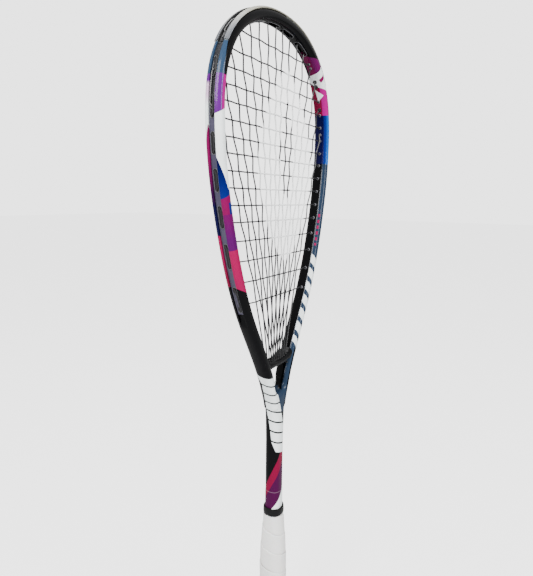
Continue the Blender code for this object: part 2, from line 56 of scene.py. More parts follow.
BEAM_POWER = 2.4
GROOVE_FLOOR = 2.6
GROOVE_END = 416.0
GROOVE_FADE = 9.0
SHAFT_SECTIONS = (
    (187.0, 8.7, 8.3), (272.0, 8.7, 8.3), (288.0, 9.3, 8.35), (300.0, 10.4, 8.4), (308.0, 11.5, 8.4),
    (318.0, 12.6, 8.15), (328.0, 14.2, 7.9), (335.5, 15.6, 7.7),
)
SHAFT_POWER = 2.5
SHAFT_FOOT, SHAFT_KNEE, SHAFT_FLARE = 187.0, 272.0, 275.0
SHAFT_HALF_X, SHAFT_HALF_Y = SHAFT_SECTIONS[0][1:]
CROTCH_DEPTH = 10.5
MELTED = (290.0, 350.0)         # heights between which the arms melt into the shaft
ARM_ALONG = (300.0, 325.0)      # heights over which `along` turns from the shaft's to the arm's
ARM_TURN = (292.0, 342.0)       # and the same for `turn`
CROTCH_HEIGHT = 335.5
CROTCH_SECTIONS = (
    (-10.5, 19.0), (-8.4, 15.4), (-7.4, 12.9), (-6.0, 11.5), (-4.0, 10.7), (0.0, 10.25),
    (4.0, 10.7), (6.0, 11.5), (7.4, 12.9), (8.4, 15.4), (10.5, 19.0),
)
BRIDGE_TOP = 360.0
BRIDGE_BOTTOM = 355.3
BRIDGE_TOP_RISE = 7.2
BRIDGE_BOTTOM_DROP = 0.9
BRIDGE_REACH = 30.0
BRIDGE_HALF_DEPTH = 7.6
STRING_RADIUS = 0.66
WEAVE = 0.62
MAINS = 16
CROSSES = 16
MAIN_TOP_OFFSETS = (5.8, 19.7, 33.8, 48.4, 63.9, 80.2, 97.5, 115.4)
MAIN_LOW_PITCH = 1.95
MAIN_LOW_HEIGHT = 361.2
MAIN_ROW = 3.5
CROSS_TOP = 655.0
CROSS_GAPS = (17.0, 14.0, 13.5, 13.0, 14.0, 13.5, 13.0, 14.0, 14.0, 14.5, 14.5, 16.5, 18.0, 19.5, 20.5)
OUTER_HOLES = (590.4, 617.1)
CORNER_SPREAD = 3.0
LANE = 1.45
BARREL_OVERHANG = 0.8
STRING_SEAT = 4.38
BARREL_TIP = -6.3
PORT_PAIRS = ((5, 6), (7, 8), (9, 10), (11, 12))
PORT_END = 3.4
PORT_HALF = 2.9
PORT_FLOOR = -3.3
STRIP_LOW = 2.85
STRIP_DARK_ABOVE = 592.0
BUMPER_PALE_ABOVE = 664.0
BUMPER_END = 638.3
STRIP_START = 637.3
STRIP_END = 419.5
BUMPER_TAPER = 75.0
GRIP_SHAPE = (
    (3.2, 14.4, 15.4), (12.0, 13.7, 14.9), (30.0, 13.2, 14.6), (124.0, 13.2, 14.5), (146.0, 12.7, 13.7),
    (164.0, 11.9, 12.4), (182.0, 10.75, 10.85), (187.8, 10.5, 10.5),
)
GRIP_POWER = 2.3
WRAP_PITCH = 22.17
WRAP_BOTTOM, WRAP_TOP = 3.3, 187.8
COLLAR_BOTTOM, COLLAR_TOP = 188.1, 196.6
TAPE_BOTTOM, TAPE_TOP = 188.5, 215.4

# ---- colours, linear
BLACK = (0.0010, 0.0010, 0.0015)
WHITE = (0.88, 0.93, 0.93)
SILVER = (0.22, 0.24, 0.23)
STEEL = (0.021, 0.044, 0.086)
DEEP_STEEL = (0.014, 0.028, 0.055)
NAVY = (0.0012, 0.0004, 0.036)
BLUE = (0.0020, 0.010, 0.140)
SKY = (0.0015, 0.150, 0.540)
PURPLE = (0.110, 0.0002, 0.074)
VIOLET = (0.074, 0.0002, 0.084)
PLUM = (0.050, 0.0002, 0.036)
DARK_PURPLE = (0.022, 0.0002, 0.034)
LILAC = (0.090, 0.008, 0.160)
MAGENTA = (0.165, 0.0002, 0.060)
HOT_MAGENTA = (0.330, 0.0002, 0.165)
DEEP_MAGENTA = (0.130, 0.0002, 0.050)
CRIMSON = (0.170, 0.0002, 0.028)
PINK = (0.290, 0.0002, 0.062)
PALE_PINK = (0.62, 0.42, 0.60)


# ---- curves
def eased_share(value, low, high):
    """0 at `low` and 1 at `high`, with a soft start and end."""
    share = np.clip((value - low) / (high - low), 0, 1)
    return share * share * (3 - 2 * share)


def round_point(angle, half_x, half_y, power):
    """A point of a superellipse, at an angle in radians from +X."""
    c, s = math.cos(angle), math.sin(angle)
    return (half_x * math.copysign(abs(c) ** (2 / power), c),
            half_y * math.copysign(abs(s) ** (2 / power), s))


def oval(half_x, half_y, power, count):
    return [round_point(2 * math.pi * k / count, half_x, half_y, power) for k in range(count)]


def between(table, height):
    """The table's second and third columns at a height, which is its first."""
    levels = [row[0] for row in table]
    return tuple(float(np.interp(height, levels, [row[k] for row in table])) for k in (1, 2))


def smooth_line(knots, count):
    """A natural cubic spline through the knots, read at `count` even steps."""
    knots = np.array(knots, float)
    t = np.concatenate([[0], np.cumsum(np.linalg.norm(np.diff(knots, axis=0), axis=1))])
    size, gap = len(t), np.diff(t)
    system, right = np.eye(size), np.zeros((size, 2))
    for i in range(1, size - 1):
        system[i, i - 1:i + 2] = gap[i - 1], 2 * (gap[i - 1] + gap[i]), gap[i]
        right[i] = 6 * ((knots[i + 1] - knots[i]) / gap[i] - (knots[i] - knots[i - 1]) / gap[i - 1])
    bend = np.linalg.solve(system, right)
    dense = []
    for u in np.linspace(0, t[-1], 6001):
        i = min(int(np.searchsorted(t, u, "right")) - 1, size - 2)
        h, a, b = gap[i], t[i + 1] - u, u - t[i]
        dense.append((bend[i] * a ** 3 + bend[i + 1] * b ** 3) / (6 * h)
                     + (knots[i] / h - bend[i] * h / 6) * a + (knots[i + 1] / h - bend[i + 1] * h / 6) * b)
    dense = np.array(dense)
    run = np.concatenate([[0], np.cumsum(np.linalg.norm(np.diff(dense, axis=0), axis=1))])
    even = np.linspace(0, run[-1], count)
    return np.stack([np.interp(even, run, dense[:, 0]), np.interp(even, run, dense[:, 1])], 1), run[-1]


LEFT_TO_RIGHT = [(-x, z) for x, z in RIM[:0:-1]] + list(RIM)
LINE, LINE_LENGTH = smooth_line(LEFT_TO_RIGHT, 4001)
TANGENT = np.gradient(LINE, axis=0)
TANGENT /= np.linalg.norm(TANGENT, axis=1)[:, None]
NORMAL = np.stack([-TANGENT[:, 1], TANGENT[:, 0]], 1)
STATIONS = np.linspace(0, LINE_LENGTH, len(LINE))
SHAFT_START = LINE_LENGTH / 2 + RIM[-1][1]      # `along` of height 0 when the shaft is counted on


def station(s):
    """Middle point and outward direction of the beam at a distance s along it."""
    p = [float(np.interp(s, STATIONS, LINE[:, k])) for k in (0, 1)]
    n = [float(np.interp(s, STATIONS, NORMAL[:, k])) for k in (0, 1)]
    size = math.hypot(*n)
    return p, (n[0] / size, n[1] / size)


def on_beam(s, out, y):
    (x, z), (nx, nz) = station(s)
    return (x + nx * out, y, z + nz * out)


def station_at_height(height, side, out=0.0):
    heights = LINE[:, 1] + NORMAL[:, 1] * out
    top = len(LINE) // 2
    if side < 0:
        return float(np.interp(height, heights[:top + 1], STATIONS[:top + 1]))
    return float(np.interp(-height, -heights[top:], STATIONS[top:]))


# ---- string layout
def main_x(i, height):
    k = 8 - i if i <= 8 else i - 9
    low = MAIN_LOW_PITCH * (k + 0.5)
    share = (height - MAIN_LOW_HEIGHT) / (CROSS_TOP - MAIN_LOW_HEIGHT)
    return math.copysign(low + (MAIN_TOP_OFFSETS[k] - low) * share, -1 if i <= 8 else 1)


def cross_height(k):
    return CROSS_TOP - sum(CROSS_GAPS[:k - 1])


def main_station(i):
    side = -1 if i <= 8 else 1
    outer = i if i <= 8 else MAINS + 1 - i
    if outer <= 2:
        return station_at_height(OUTER_HOLES[outer - 1], side)
    inner = LINE - NORMAL * BEAM_HALF_WIDTH
    upper = [j for j in range(len(LINE)) if inner[j, 1] > OUTER_HOLES[1] and inner[j, 0] * side > -1]
    j = min(upper, key=lambda j: abs(inner[j, 0] - main_x(i, inner[j, 1])))
    return float(STATIONS[j])


MAIN_STATIONS = {i: main_station(i) for i in range(1, MAINS + 1)}
CROSS_STATIONS = {
    (k, side): station_at_height(cross_height(k), side, -BEAM_HALF_WIDTH)
    for k in range(1, CROSSES + 1) for side in (-1, 1)
}
for main, side in ((4, -1), (13, 1)):
    MAIN_STATIONS[main] += CORNER_SPREAD * side
    CROSS_STATIONS[1, side] -= CORNER_SPREAD * side
HOLES = list(MAIN_STATIONS.values()) + list(CROSS_STATIONS.values())
PORTED = [MAIN_STATIONS[i] for pair in PORT_PAIRS for i in pair]


def bridge_height(x, level):
    bow = (x / BRIDGE_REACH) ** 2
    return BRIDGE_TOP + BRIDGE_TOP_RISE * bow if level > 0 else BRIDGE_BOTTOM - BRIDGE_BOTTOM_DROP * bow


# ---- meshes
def link(name, data):
    obj = bpy.data.objects.new(name, data)
    bpy.context.scene.collection.objects.link(obj)
    return obj


def add_mesh(name, points, faces, sharp=35.0):
    mesh = bpy.data.meshes.new(name)
    mesh.from_pydata((np.array(points, float) * 0.001).tolist(), [], faces)
    work = bmesh.new()
    work.from_mesh(mesh)
    bmesh.ops.recalc_face_normals(work, faces=work.faces)
    if work.calc_volume(signed=True) < 0:
        bmesh.ops.reverse_faces(work, faces=work.faces)
    work.to_mesh(mesh)
    work.free()
    smooth(mesh, sharp)
    return link(name, mesh)


def smooth(mesh, sharp):
    for face in mesh.polygons:
        face.use_smooth = True
    mesh.set_sharp_from_angle(angle=math.radians(sharp))


def combine(obj, cutter, operation, sharp=35.0):
    """Carries out one exact Boolean and drops the helper."""
    step = obj.modifiers.new(operation.lower(), "BOOLEAN")
    step.operation = operation
    step.solver = "EXACT"
    step.object = cutter
    bpy.context.view_layer.update()
    graph = bpy.context.evaluated_depsgraph_get()
    mesh = bpy.data.meshes.new_from_object(obj.evaluated_get(graph))
    obj.modifiers.clear()
    obj.data = mesh
    bpy.data.objects.remove(cutter, do_unlink=True)
    smooth(mesh, sharp)


def loft(rings, closed=False, caps=True):
    count, size = len(rings), len(rings[0])
    points = [p for ring in rings for p in ring]
    faces = []
    for i in range(count if closed else count - 1):
        a, b = i * size, (i + 1) % count * size
        faces += [(a + j, a + (j + 1) % size, b + (j + 1) % size, b + j) for j in range(size)]
    if caps and not closed:
        faces += [tuple(range(size)), tuple(range((count - 1) * size, count * size))]
    return points, faces


def joined(bodies):
    points, faces = [], []
    for body_points, body_faces in bodies:
        start = len(points)
        points += list(body_points)
        faces += [tuple(start + k for k in face) for face in body_faces]
    return points, faces


def swept(section_at, first, last, count):
    rings = [[on_beam(s, out, y) for out, y in section_at(s)] for s in np.linspace(first, last, count)]
    return loft(rings)


def ring(middle, first, second, radius, sides):
    """Points of a circle spanned by two unit directions."""
    angles = (2 * math.pi * j / sides for j in range(sides))
    return [tuple(middle + radius * (math.cos(a) * first + math.sin(a) * second)) for a in angles]


def tube(path, radius, sides=8, closed=False, swell=()):
    """A tube along a path. `swell` maps a point's index to another radius."""
    path = np.array(path, float)
    steps = np.diff(np.vstack([path, path[:1]]) if closed else path, axis=0)
    steps /= np.linalg.norm(steps, axis=1)[:, None]
    side = np.array([1.0, 0.0, 0.0] if abs(steps[0][1]) > 0.9 else [0.0, 1.0, 0.0])
    swell, rings = dict(swell), []
    for k, middle in enumerate(path):
        before = steps[k - 1] if closed or k else steps[0]
        along = before + steps[min(k, len(steps) - 1)]
        along /= np.linalg.norm(along)
        side = side - along * side.dot(along)
        side /= np.linalg.norm(side)
        rings.append(ring(middle, side, np.cross(along, side), swell.get(k, radius), sides))
    return loft(rings, closed=closed)


def place(obj, slot, mat, *nodes):
    """Gives a piece its material and body, and hides the CAD nodes it stands for."""
    obj.data.materials.clear()
    obj.data.materials.append(mat)
    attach(obj, "root")
    if nodes:
        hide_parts(*nodes)
    return obj


# ---- where paint sits on a skin
def read(items, field, width, kind=np.float64):
    """One row of `width` numbers for each of a mesh's items."""
    flat = np.empty(len(items) * width, kind)
    items.foreach_get(field, flat)
    return flat.reshape(-1, width)


def write_paint_places(mesh):
    """Writes `along` and the direction of `turn` on every face corner."""
    mesh.update()
    spots = read(mesh.vertices, "co", 3) * 1000
    count = len(spots)
    nearest = np.empty(count, int)
    for first in range(0, count, 2000):
        part = spots[first:first + 2000]
        gap = (part[:, None, 0] - LINE[None, ::4, 0]) ** 2 + (part[:, None, 2] - LINE[None, ::4, 1]) ** 2
        nearest[first:first + 2000] = gap.argmin(1) * 4
    away = spots[:, [0, 2]] - LINE[nearest]
    out = (away * NORMAL[nearest]).sum(1)
    rest = (away * TANGENT[nearest]).sum(1)
    on_arm = np.abs(STATIONS[nearest] + rest - LINE_LENGTH / 2)
    on_shaft = SHAFT_START - spots[:, 2]
    along = on_shaft + (on_arm - on_shaft) * eased_share(spots[:, 2], *ARM_ALONG)
    around_arm = np.degrees(np.arctan2(out / BEAM_HALF_WIDTH, -spots[:, 1] / BEAM_HALF_DEPTH))
    around_shaft = np.degrees(np.arctan2(np.abs(spots[:, 0]) / SHAFT_HALF_X, -spots[:, 1] / SHAFT_HALF_Y))
    around_arm = np.where((around_arm < -90) & (spots[:, 2] < BRIDGE_TOP), around_arm + 360, around_arm)
    around = around_shaft + (around_arm - around_shaft) * eased_share(spots[:, 2], *ARM_TURN)
    totals = read(mesh.polygons, "loop_total", 1, np.int32)[:, 0]
    right = np.repeat(read(mesh.polygons, "center", 3)[:, 0] > 0, totals)
    corner = read(mesh.loops, "vertex_index", 1, np.int32)[:, 0]
    turn = np.radians(np.where(right, 180.0 - around[corner], around[corner]))
    values = mesh.attributes.new("along", "FLOAT", "CORNER")
    values.data.foreach_set("value", along[corner].astype(np.float32))
    values = mesh.attributes.new("turn", "FLOAT_VECTOR", "CORNER")
    vectors = np.stack([np.cos(turn), np.sin(turn), np.zeros(len(turn))], 1)
    values.data.foreach_set("vector", vectors.astype(np.float32).ravel())


# ---- materials
class Graph:
    """Short calls for the nodes of one material."""

    def __init__(self, name):
        self.made = bpy.data.materials.new(name)
        self.made.use_nodes = True
        self.tree = self.made.node_tree
        self.shader = self.tree.nodes["Principled BSDF"]

    def feed(self, socket, value):
        if isinstance(value, bpy.types.NodeSocket):
            self.tree.links.new(value, socket)
        elif isinstance(value, tuple) and socket.type == "RGBA":
            socket.default_value = (*value, 1.0)
        else:
            socket.default_value = value

    def put(self, **values):
        for name, value in values.items():
            self.feed(self.shader.inputs[name.replace("_", " ")], value)

    def math(self, operation, *values, clamp=False):
        node = self.tree.nodes.new("ShaderNodeMath")
        node.operation = operation
        node.use_clamp = clamp
        for socket, value in zip(node.inputs, values):
            self.feed(socket, value)
        return node.outputs[0]

    def times(self, first, second):
        return self.math("MULTIPLY", first, second)

    def minus(self, first, second):
        return self.math("SUBTRACT", first, second)

    def linear(self, value, factor, offset, clamp=False):
        return self.math("MULTIPLY_ADD", value, factor, offset, clamp=clamp)

    def mix(self, share, first, second):
        node = self.tree.nodes.new("ShaderNodeMix")
        node.data_type = "RGBA"
        for index, value in ((0, share), (6, first), (7, second)):
            self.feed(node.inputs[index], value)
        return node.outputs[2]

    def attribute(self, name, output="Fac"):
        node = self.tree.nodes.new("ShaderNodeAttribute")
        node.attribute_name = name
        return node.outputs[output]

    def place(self, stretch=(1.0, 1.0, 1.0)):
        where = self.tree.nodes.new("ShaderNodeTexCoord").outputs["Object"]
        node = self.tree.nodes.new("ShaderNodeMapping")
        self.feed(node.inputs["Vector"], where)
        node.inputs["Scale"].default_value = [1000.0 * k for k in stretch]
        return node.outputs[0]

    def split(self, vector):
        node = self.tree.nodes.new("ShaderNodeSeparateXYZ")
        self.feed(node.inputs[0], vector)
        return node.outputs

    def noise(self, size, detail=2.0, stretch=(1.0, 1.0, 1.0)):
        """Noise whose features are about `size` millimetres."""
        node = self.tree.nodes.new("ShaderNodeTexNoise")
        self.feed(node.inputs["Vector"], self.place(stretch))
        node.inputs["Scale"].default_value = 1.0 / size
        node.inputs["Detail"].default_value = detail
        return node.outputs["Fac"]

    def cells(self, size):
        """Distance from the middle of the nearest of cells about `size` millimetres wide."""
        node = self.tree.nodes.new("ShaderNodeTexVoronoi")
        self.feed(node.inputs["Vector"], self.place())
        node.inputs["Scale"].default_value = 1 / size
        return node.outputs["Distance"]

    def span(self, value, low, high):
        """Maps 0..1 noise on to low..high."""
        return self.linear(value, high - low, low)

    def step(self, value, edge, soft=0.3):
        """0 before the edge and 1 past it."""
        return self.linear(value, 1 / soft, 0.5 - edge / soft, clamp=True)

    def before(self, value, edge, soft=0.3):
        """1 before the edge and 0 past it."""
        return self.linear(value, -1 / soft, 0.5 + edge / soft, clamp=True)

    def bump(self, height, strength, distance):
        node = self.tree.nodes.new("ShaderNodeBump")
        node.inputs["Strength"].default_value = strength
        node.inputs["Distance"].default_value = distance * 0.001
        self.feed(node.inputs["Height"], height)
        return node.outputs[0]

    def surface(self, colour, rough, relief, **constants):
        """The material, with roughness as (0..1 value, low, high) and relief as `bump` takes it."""
        self.put(Base_Color=colour, Roughness=self.span(*rough), Normal=self.bump(*relief), **constants)
        return self.made


class Paint(Graph):
    """Areas of paint bounded by lines in (along, turn)."""

    def __init__(self, name):
        super().__init__(name)
        x, y, _ = self.split(self.attribute("turn", "Vector"))
        angle = self.times(self.math("ARCTAN2", y, x), 180 / math.pi)
        behind = self.math("LESS_THAN", angle, -30.0)
        self.along = self.attribute("along")
        self.turn = self.linear(behind, 360.0, angle)

    def past(self, first, second, soft=0.3, turn=None):
        """1 further down the beam than the line through two (along, turn) points."""
        slope = (second[0] - first[0]) / (second[1] - first[1])
        value = self.linear(self.turn if turn is None else turn, -slope, self.along)
        return self.step(value, first[0] - slope * first[1], soft)

    def bands(self, colour, rows, turn=None):
        """Colours one after another down the beam; a row is (colour, line, soft)."""
        for following, first, second, soft in rows:
            colour = self.mix(self.past(first, second, soft, turn), colour, following)
        return colour

    def area(self, corners, soft=0.3):
        """1 inside a convex area given by its (along, turn) corners."""
        wide = 0.12     # millimetres for one degree of turn
        middle = [sum(p[k] for p in corners) / len(corners) for k in (0, 1)]
        inside = None
        for (t1, a1), (t2, a2) in zip(corners, corners[1:] + corners[:1]):
            nt, na = (a2 - a1) * wide, -(t2 - t1)
            size = math.hypot(nt, na)
            nt, na = nt / size, na / size * wide
            if nt * (middle[0] - t1) + na * (middle[1] - a1) < 0:
                nt, na = -nt, -na
            value = self.linear(self.along, nt, -nt * t1 - na * a1)
            value = self.linear(self.turn, na, value)
            inside = value if inside is None else self.math("MINIMUM", inside, value)
        return self.step(inside, 0.0, soft)

    def ramp(self, value, low, high):
        """From 0 at `low` to 1 at `high`."""
        return self.linear(value, 1 / (high - low), -low / (high - low), clamp=True)

    def within(self, value, low, high, soft=0.3):
        return self.minus(self.step(value, low, soft), self.step(value, high, soft))


def front_colours(g):
    """From the front edge of the head's outside, -30 to 95 degrees."""
    start = g.mix(g.step(g.turn, 44.0, 3.0), BLACK, SILVER)
    first = g.mix(g.past((100.0, 44.0), (127.0, 14.0)), BLACK, STEEL)
    first = g.mix(g.step(g.along, 100.5, 1.5), start, first)
    second = g.mix(g.step(g.turn, 17.0, 6.0), HOT_MAGENTA, LILAC)
    colour = g.mix(g.step(g.along, 127.0), first, second)
    colour = g.mix(g.past((153.0, 6.0), (156.0, 60.0)), colour, WHITE)
    wedge = g.mix(g.step(g.along, 206.0, 26.0), NAVY, BLUE)
    bend = g.math("MAXIMUM", g.times(g.turn, 0.36), g.times(g.turn, 0.133))
    colour = g.mix(g.step(g.math("ADD", g.along, bend), 212.0), colour, wedge)
    colour = g.bands(colour, (
        (MAGENTA, (217.0, -30.0), (221.0, 80.0), 0.3),
        (PURPLE, (233.0, 0.0), (233.5, 90.0), 0.6),
        (VIOLET, (246.0, 0.0), (246.0, 90.0), 16.0),
        (PINK, (264.0, 0.0), (264.0, 90.0), 0.4),
        (BLACK, (307.0, -26.0), (299.0, 60.0), 0.3),
    ))
    patch = g.area([(224.0, -32.0), (224.0, 14.0), (233.5, 17.0), (233.5, -32.0)])
    return g.mix(patch, colour, BLUE)


def rear_colours(g):
    """Behind the groove, 95 to 150 degrees."""
    return g.bands(SILVER, (
        (STEEL, (100.5, 95.0), (100.5, 150.0), 1.5),
        (LILAC, (127.0, 95.0), (127.0, 150.0), 0.4),
        (PALE_PINK, (133.5, 95.0), (133.0, 150.0), 3.0),
        (WHITE, (146.0, 95.0), (146.0, 150.0), 8.0),
        (MAGENTA, (157.0, 99.0), (181.0, 150.0), 0.4),
        (DARK_PURPLE, (203.0, 95.0), (203.0, 150.0), 26.0),
        (NAVY, (224.0, 95.0), (224.0, 150.0), 5.0),
        (PINK, (251.0, 95.0), (251.0, 150.0), 0.4),
        (CRIMSON, (276.0, 95.0), (276.0, 150.0), 30.0),
        (BLACK, (298.0, 95.0), (298.0, 150.0), 0.4),
    ))


def inner_colours(g):
    """The strings' side and the other face, 150 to 330 degrees."""
    deep = g.step(g.turn, 247.0, 6.0)
    colour = g.bands(BLACK, (
        (g.mix(deep, PURPLE, DEEP_MAGENTA), (71.0, 158.0), (48.0, 330.0), 0.3),
        (WHITE, (78.5, 162.0), (85.0, 330.0), 0.3),
        (g.mix(deep, HOT_MAGENTA, CRIMSON), (105.2, 162.0), (91.2, 330.0), 0.3),
    ))
    tip = g.before(g.along, 86.0, 1.0)
    colour = g.mix(g.times(tip, g.step(g.turn, 298.0, 3.0)), colour, BLACK)
    for paint, corners in (
        (MAGENTA, [(89.5, 238.0), (93.5, 226.0), (90.5, 166.0), (86.5, 176.0)]),
        (WHITE, [(100.0, 284.0), (107.5, 224.0), (113.5, 272.0)]),
    ):
        colour = g.mix(g.area(corners), colour, paint)
    lit = g.mix(g.step(g.turn, 204.0, 46.0), SKY, BLUE)
    cold = g.mix(g.step(g.turn, 240.0, 8.0), lit, NAVY)
    shift = g.times(g.ramp(g.along, 417.0, 440.0), 38.0)
    low = g.minus(g.linear(g.ramp(g.along, 300.0, 394.0), 41.0, 157.0), shift)
    high = g.minus(242.0, shift)
    stripe = g.times(g.step(g.minus(g.turn, low), 0.0, 3.0),
                    g.step(g.minus(high, g.turn), 0.0, 8.0))
    stripe = g.times(stripe, g.before(g.along, 448.0, 8.0))
    return g.bands(colour, (
        (cold, (130.0, 150.0), (128.5, 330.0), 0.3),
        (g.mix(stripe, BLACK, DEEP_STEEL), (182.0, 150.0), (182.0, 330.0), 1.0),
    ))


def shaft_turn(g):
    """Turn on the shaft, -30 to 150 degrees on both halves."""
    low = g.step(g.along, 445.0, 0.1)
    other = g.times(low, g.math("GREATER_THAN", g.turn, 150.0))
    return g.linear(other, -180.0, g.turn)


def web_line(g):
    """On the web between the arms: where the bars end across the face, and the place itself across it."""
    x, y, z = g.split(g.place())
    across = g.times(g.times(g.math("SIGN", y), -1.0), x)
    return g.linear(z, -0.28, 84.3), across


def web_stripe(g):
    """The blue of the stripe where it runs out beside the bars."""
    first, across = web_line(g)
    beside = g.times(g.step(g.minus(across, first), 0.0, 0.4),
                    g.before(across, 4.8, 0.6))
    return g.times(beside, g.within(g.along, 432.0, 455.0, 3.0))


def bars(g, turn):
    """A plain row of slanted bars from the left arm down the shaft, and a shorter one on the right arm."""
    pitch, gap, first = 11.4, 1.9, 409.7
    across = g.linear(turn, 0.045, g.along)
    cycle = g.math("FRACT", g.linear(across, 1 / pitch, -first / pitch))
    solid = g.within(cycle, gap / pitch / 2, 1 - gap / pitch / 2, 0.04)
    top = g.math("MAXIMUM", g.linear(g.along, -3.0, 1355.0), 107.5)
    upper = g.math("MINIMUM", g.linear(g.along, -0.8, 469.0), top)
    upper = g.math("MINIMUM", g.linear(g.along, -2.9, 1492.0), upper)
    reach = g.times(g.step(turn, -28.0, 4.0), g.step(g.minus(upper, turn), 0.0, 4.0))
    clear = g.math("MAXIMUM", g.step(g.minus(*web_line(g)), 0.0, 0.4), g.step(turn, 70.0))
    reach = g.times(reach, clear)
    low_end = g.within(across, first, first + 8 * pitch)
    left = g.times(g.times(solid, reach), low_end)
    pitch, wide = 15.4, 0.64
    across = g.linear(g.turn, 0.09, g.along)
    cycle = g.math("FRACT", g.linear(across, 1 / pitch, -305.0 / pitch))
    solid = g.times(g.within(cycle, 0.02, wide, 0.03), g.within(across, 305.0, 405.0))
    right = g.times(solid, g.within(g.turn, 158.0, 240.0, 3.0))
    return g.math("MAXIMUM", left, right)


def dashes(g):
    cycle = g.math("FRACT", g.times(g.along, 1 / 6.6))
    row = g.times(g.within(cycle, 0.1, 0.62, 0.06), g.within(g.along, 235.0, 274.0))
    return g.times(row, g.within(g.turn, 217.0, 233.0, 3.0))


def paint_material(name, film=False):
    """Gloss lacquer over the printed colours, with faint orange peel, handling marks and worn spots."""
    g = Paint(name)
    colour = g.mix(g.step(g.turn, 95.0, 1.0), front_colours(g), rear_colours(g))
    colour = g.mix(g.step(g.turn, 150.0, 1.0), colour, inner_colours(g))
    turn = shaft_turn(g)
    shaft = g.bands(BLACK, (
        (CRIMSON, (501.6, 18.0), (543.6, 145.0), 0.3),
        (PLUM, (512.4, -7.0), (541.9, 94.0), 0.5),
        (WHITE, (540.7, -30.0), (560.8, 64.0), 0.4),
    ), turn)
    colour = g.mix(g.step(g.along, 456.0, 2.0), colour, shaft)
    colour = g.mix(web_stripe(g), colour, DEEP_STEEL)
    colour = g.mix(bars(g, turn), colour, WHITE)
    colour = g.mix(dashes(g), colour, PINK)
    if film:
        _, _, z = g.split(g.place())
        colour = g.mix(g.times(g.step(z, TAPE_TOP - 0.7), 0.2), colour, (0.40, 0.33, 0.37))
    marks = g.noise(0.9, 4.0, (1.0, 1.0, 0.12))
    worn = g.step(g.noise(0.7, 5.0), 0.74, 0.04)
    colour = g.mix(g.times(worn, 0.35), colour, (0.30, 0.30, 0.32))
    grain = g.noise(6.0, 3.0)
    colour = g.mix(g.times(grain, 0.08), colour, BLACK)
    rough = (marks, 0.30, 0.42) if film else (marks, 0.16, 0.30)
    return g.surface(colour, rough, (g.noise(1.6, 2.0), 0.12, 0.05),
                     Coat_Weight=0.10, Coat_Roughness=0.04, Specular_IOR_Level=0.06)


def black_lacquer():
    g = Graph("bridge_lacquer")
    colour = g.mix(g.step(g.noise(0.7, 5.0), 0.72, 0.06), BLACK, (0.05, 0.05, 0.055))
    return g.surface(colour, (g.noise(1.0, 4.0), 0.22, 0.36), (g.noise(1.6, 2.0), 0.12, 0.05),
                     Coat_Weight=0.10, Coat_Roughness=0.08, Specular_IOR_Level=0.08)


def nylon(name, first, second, rough, scuffed, share, dark_top=False):
    """Moulded nylon with cloudy colour, flow lines and scuffs, and black near the bumper if asked."""
    g = Graph(name)
    colour = g.mix(g.noise(5.0, 3.0, (1.0, 1.0, 0.3)), first, second)
    if dark_top:
        _, _, z = g.split(g.place())
        colour = g.mix(g.step(z, STRIP_DARK_ABOVE, 14.0), colour, (0.010, 0.010, 0.013))
    scuffs = g.times(g.step(g.noise(0.8, 5.0), 0.66, 0.08), share)
    return g.surface(g.mix(scuffs, colour, scuffed), (g.noise(0.9, 4.0), rough, rough + 0.16),
                     (g.noise(0.8, 3.0), 0.2, 0.06), Coat_Weight=0.15, Specular_IOR_Level=0.3)


def bumper_nylon():
    """Cloudy clear nylon, cream at the crown and greyer down the sides, with painted shade darkening the
    recessed middle channel.
    """
    g = Graph("pale_nylon")
    _, y, z = g.split(g.place())
    crown = g.mix(g.noise(5.0, 3.0, (1.0, 1.0, 0.3)), (0.32, 0.30, 0.23), (0.22, 0.215, 0.18))
    sides = g.mix(g.noise(6.0, 3.0), (0.10, 0.105, 0.12), (0.060, 0.066, 0.076))
    colour = g.mix(g.step(z, BUMPER_PALE_ABOVE, 22.0), sides, crown)
    # painted shade: the recessed channel between the wings is mixed to near black
    channel_shade = g.before(g.math("ABSOLUTE", y), 3.05)
    colour = g.mix(channel_shade, colour, (0.008, 0.008, 0.009))
    scuffs = g.times(g.step(g.noise(0.9, 5.0), 0.64, 0.08), 0.3)
    return g.surface(g.mix(scuffs, colour, (0.10, 0.10, 0.10)), (g.noise(0.9, 4.0), 0.28, 0.44),
                     (g.noise(1.1, 3.0), 0.16, 0.06), Coat_Weight=0.1, Specular_IOR_Level=0.25)


STENCIL = (     # x and height of the middle, half width and half height: the inked shape, its opening
    (17.0, 550.0, 54.0, 91.0),
    (17.0, 565.0, 14.0, 47.0),
)


def string_material():
    """Smooth-coated multifilament: fine wraps show in the bump, and ink lies on the stencil's strings."""
    g = Graph("string_black")
    x, _, z = g.split(g.place())
    colour = g.mix(g.noise(0.6, 3.0), (0.004, 0.004, 0.005), (0.020, 0.020, 0.022))
    inked = None
    for (cx, cz, half_x, half_z), way in zip(STENCIL, (-1.0, 1.0)):
        across = g.math("ABSOLUTE", g.linear(x, 1 / half_x, -cx / half_x))
        up = g.math("ABSOLUTE", g.linear(z, 1 / half_z, -cz / half_z))
        size = g.math("ADD", g.math("POWER", across, 1.5), g.math("POWER", up, 1.5))
        mask = g.step(g.times(size, way), way, 0.05)
        inked = mask if inked is None else g.times(inked, mask)
    thin = g.span(g.noise(0.7, 4.0), 0.86, 1.0)
    colour = g.mix(g.times(inked, thin), colour, (0.92, 0.93, 0.93))
    return g.surface(colour, (g.noise(0.5, 3.0), 0.30, 0.48),
                     (g.noise(0.35, 3.0, (2.0, 1.0, 2.0)), 0.35, 0.05))


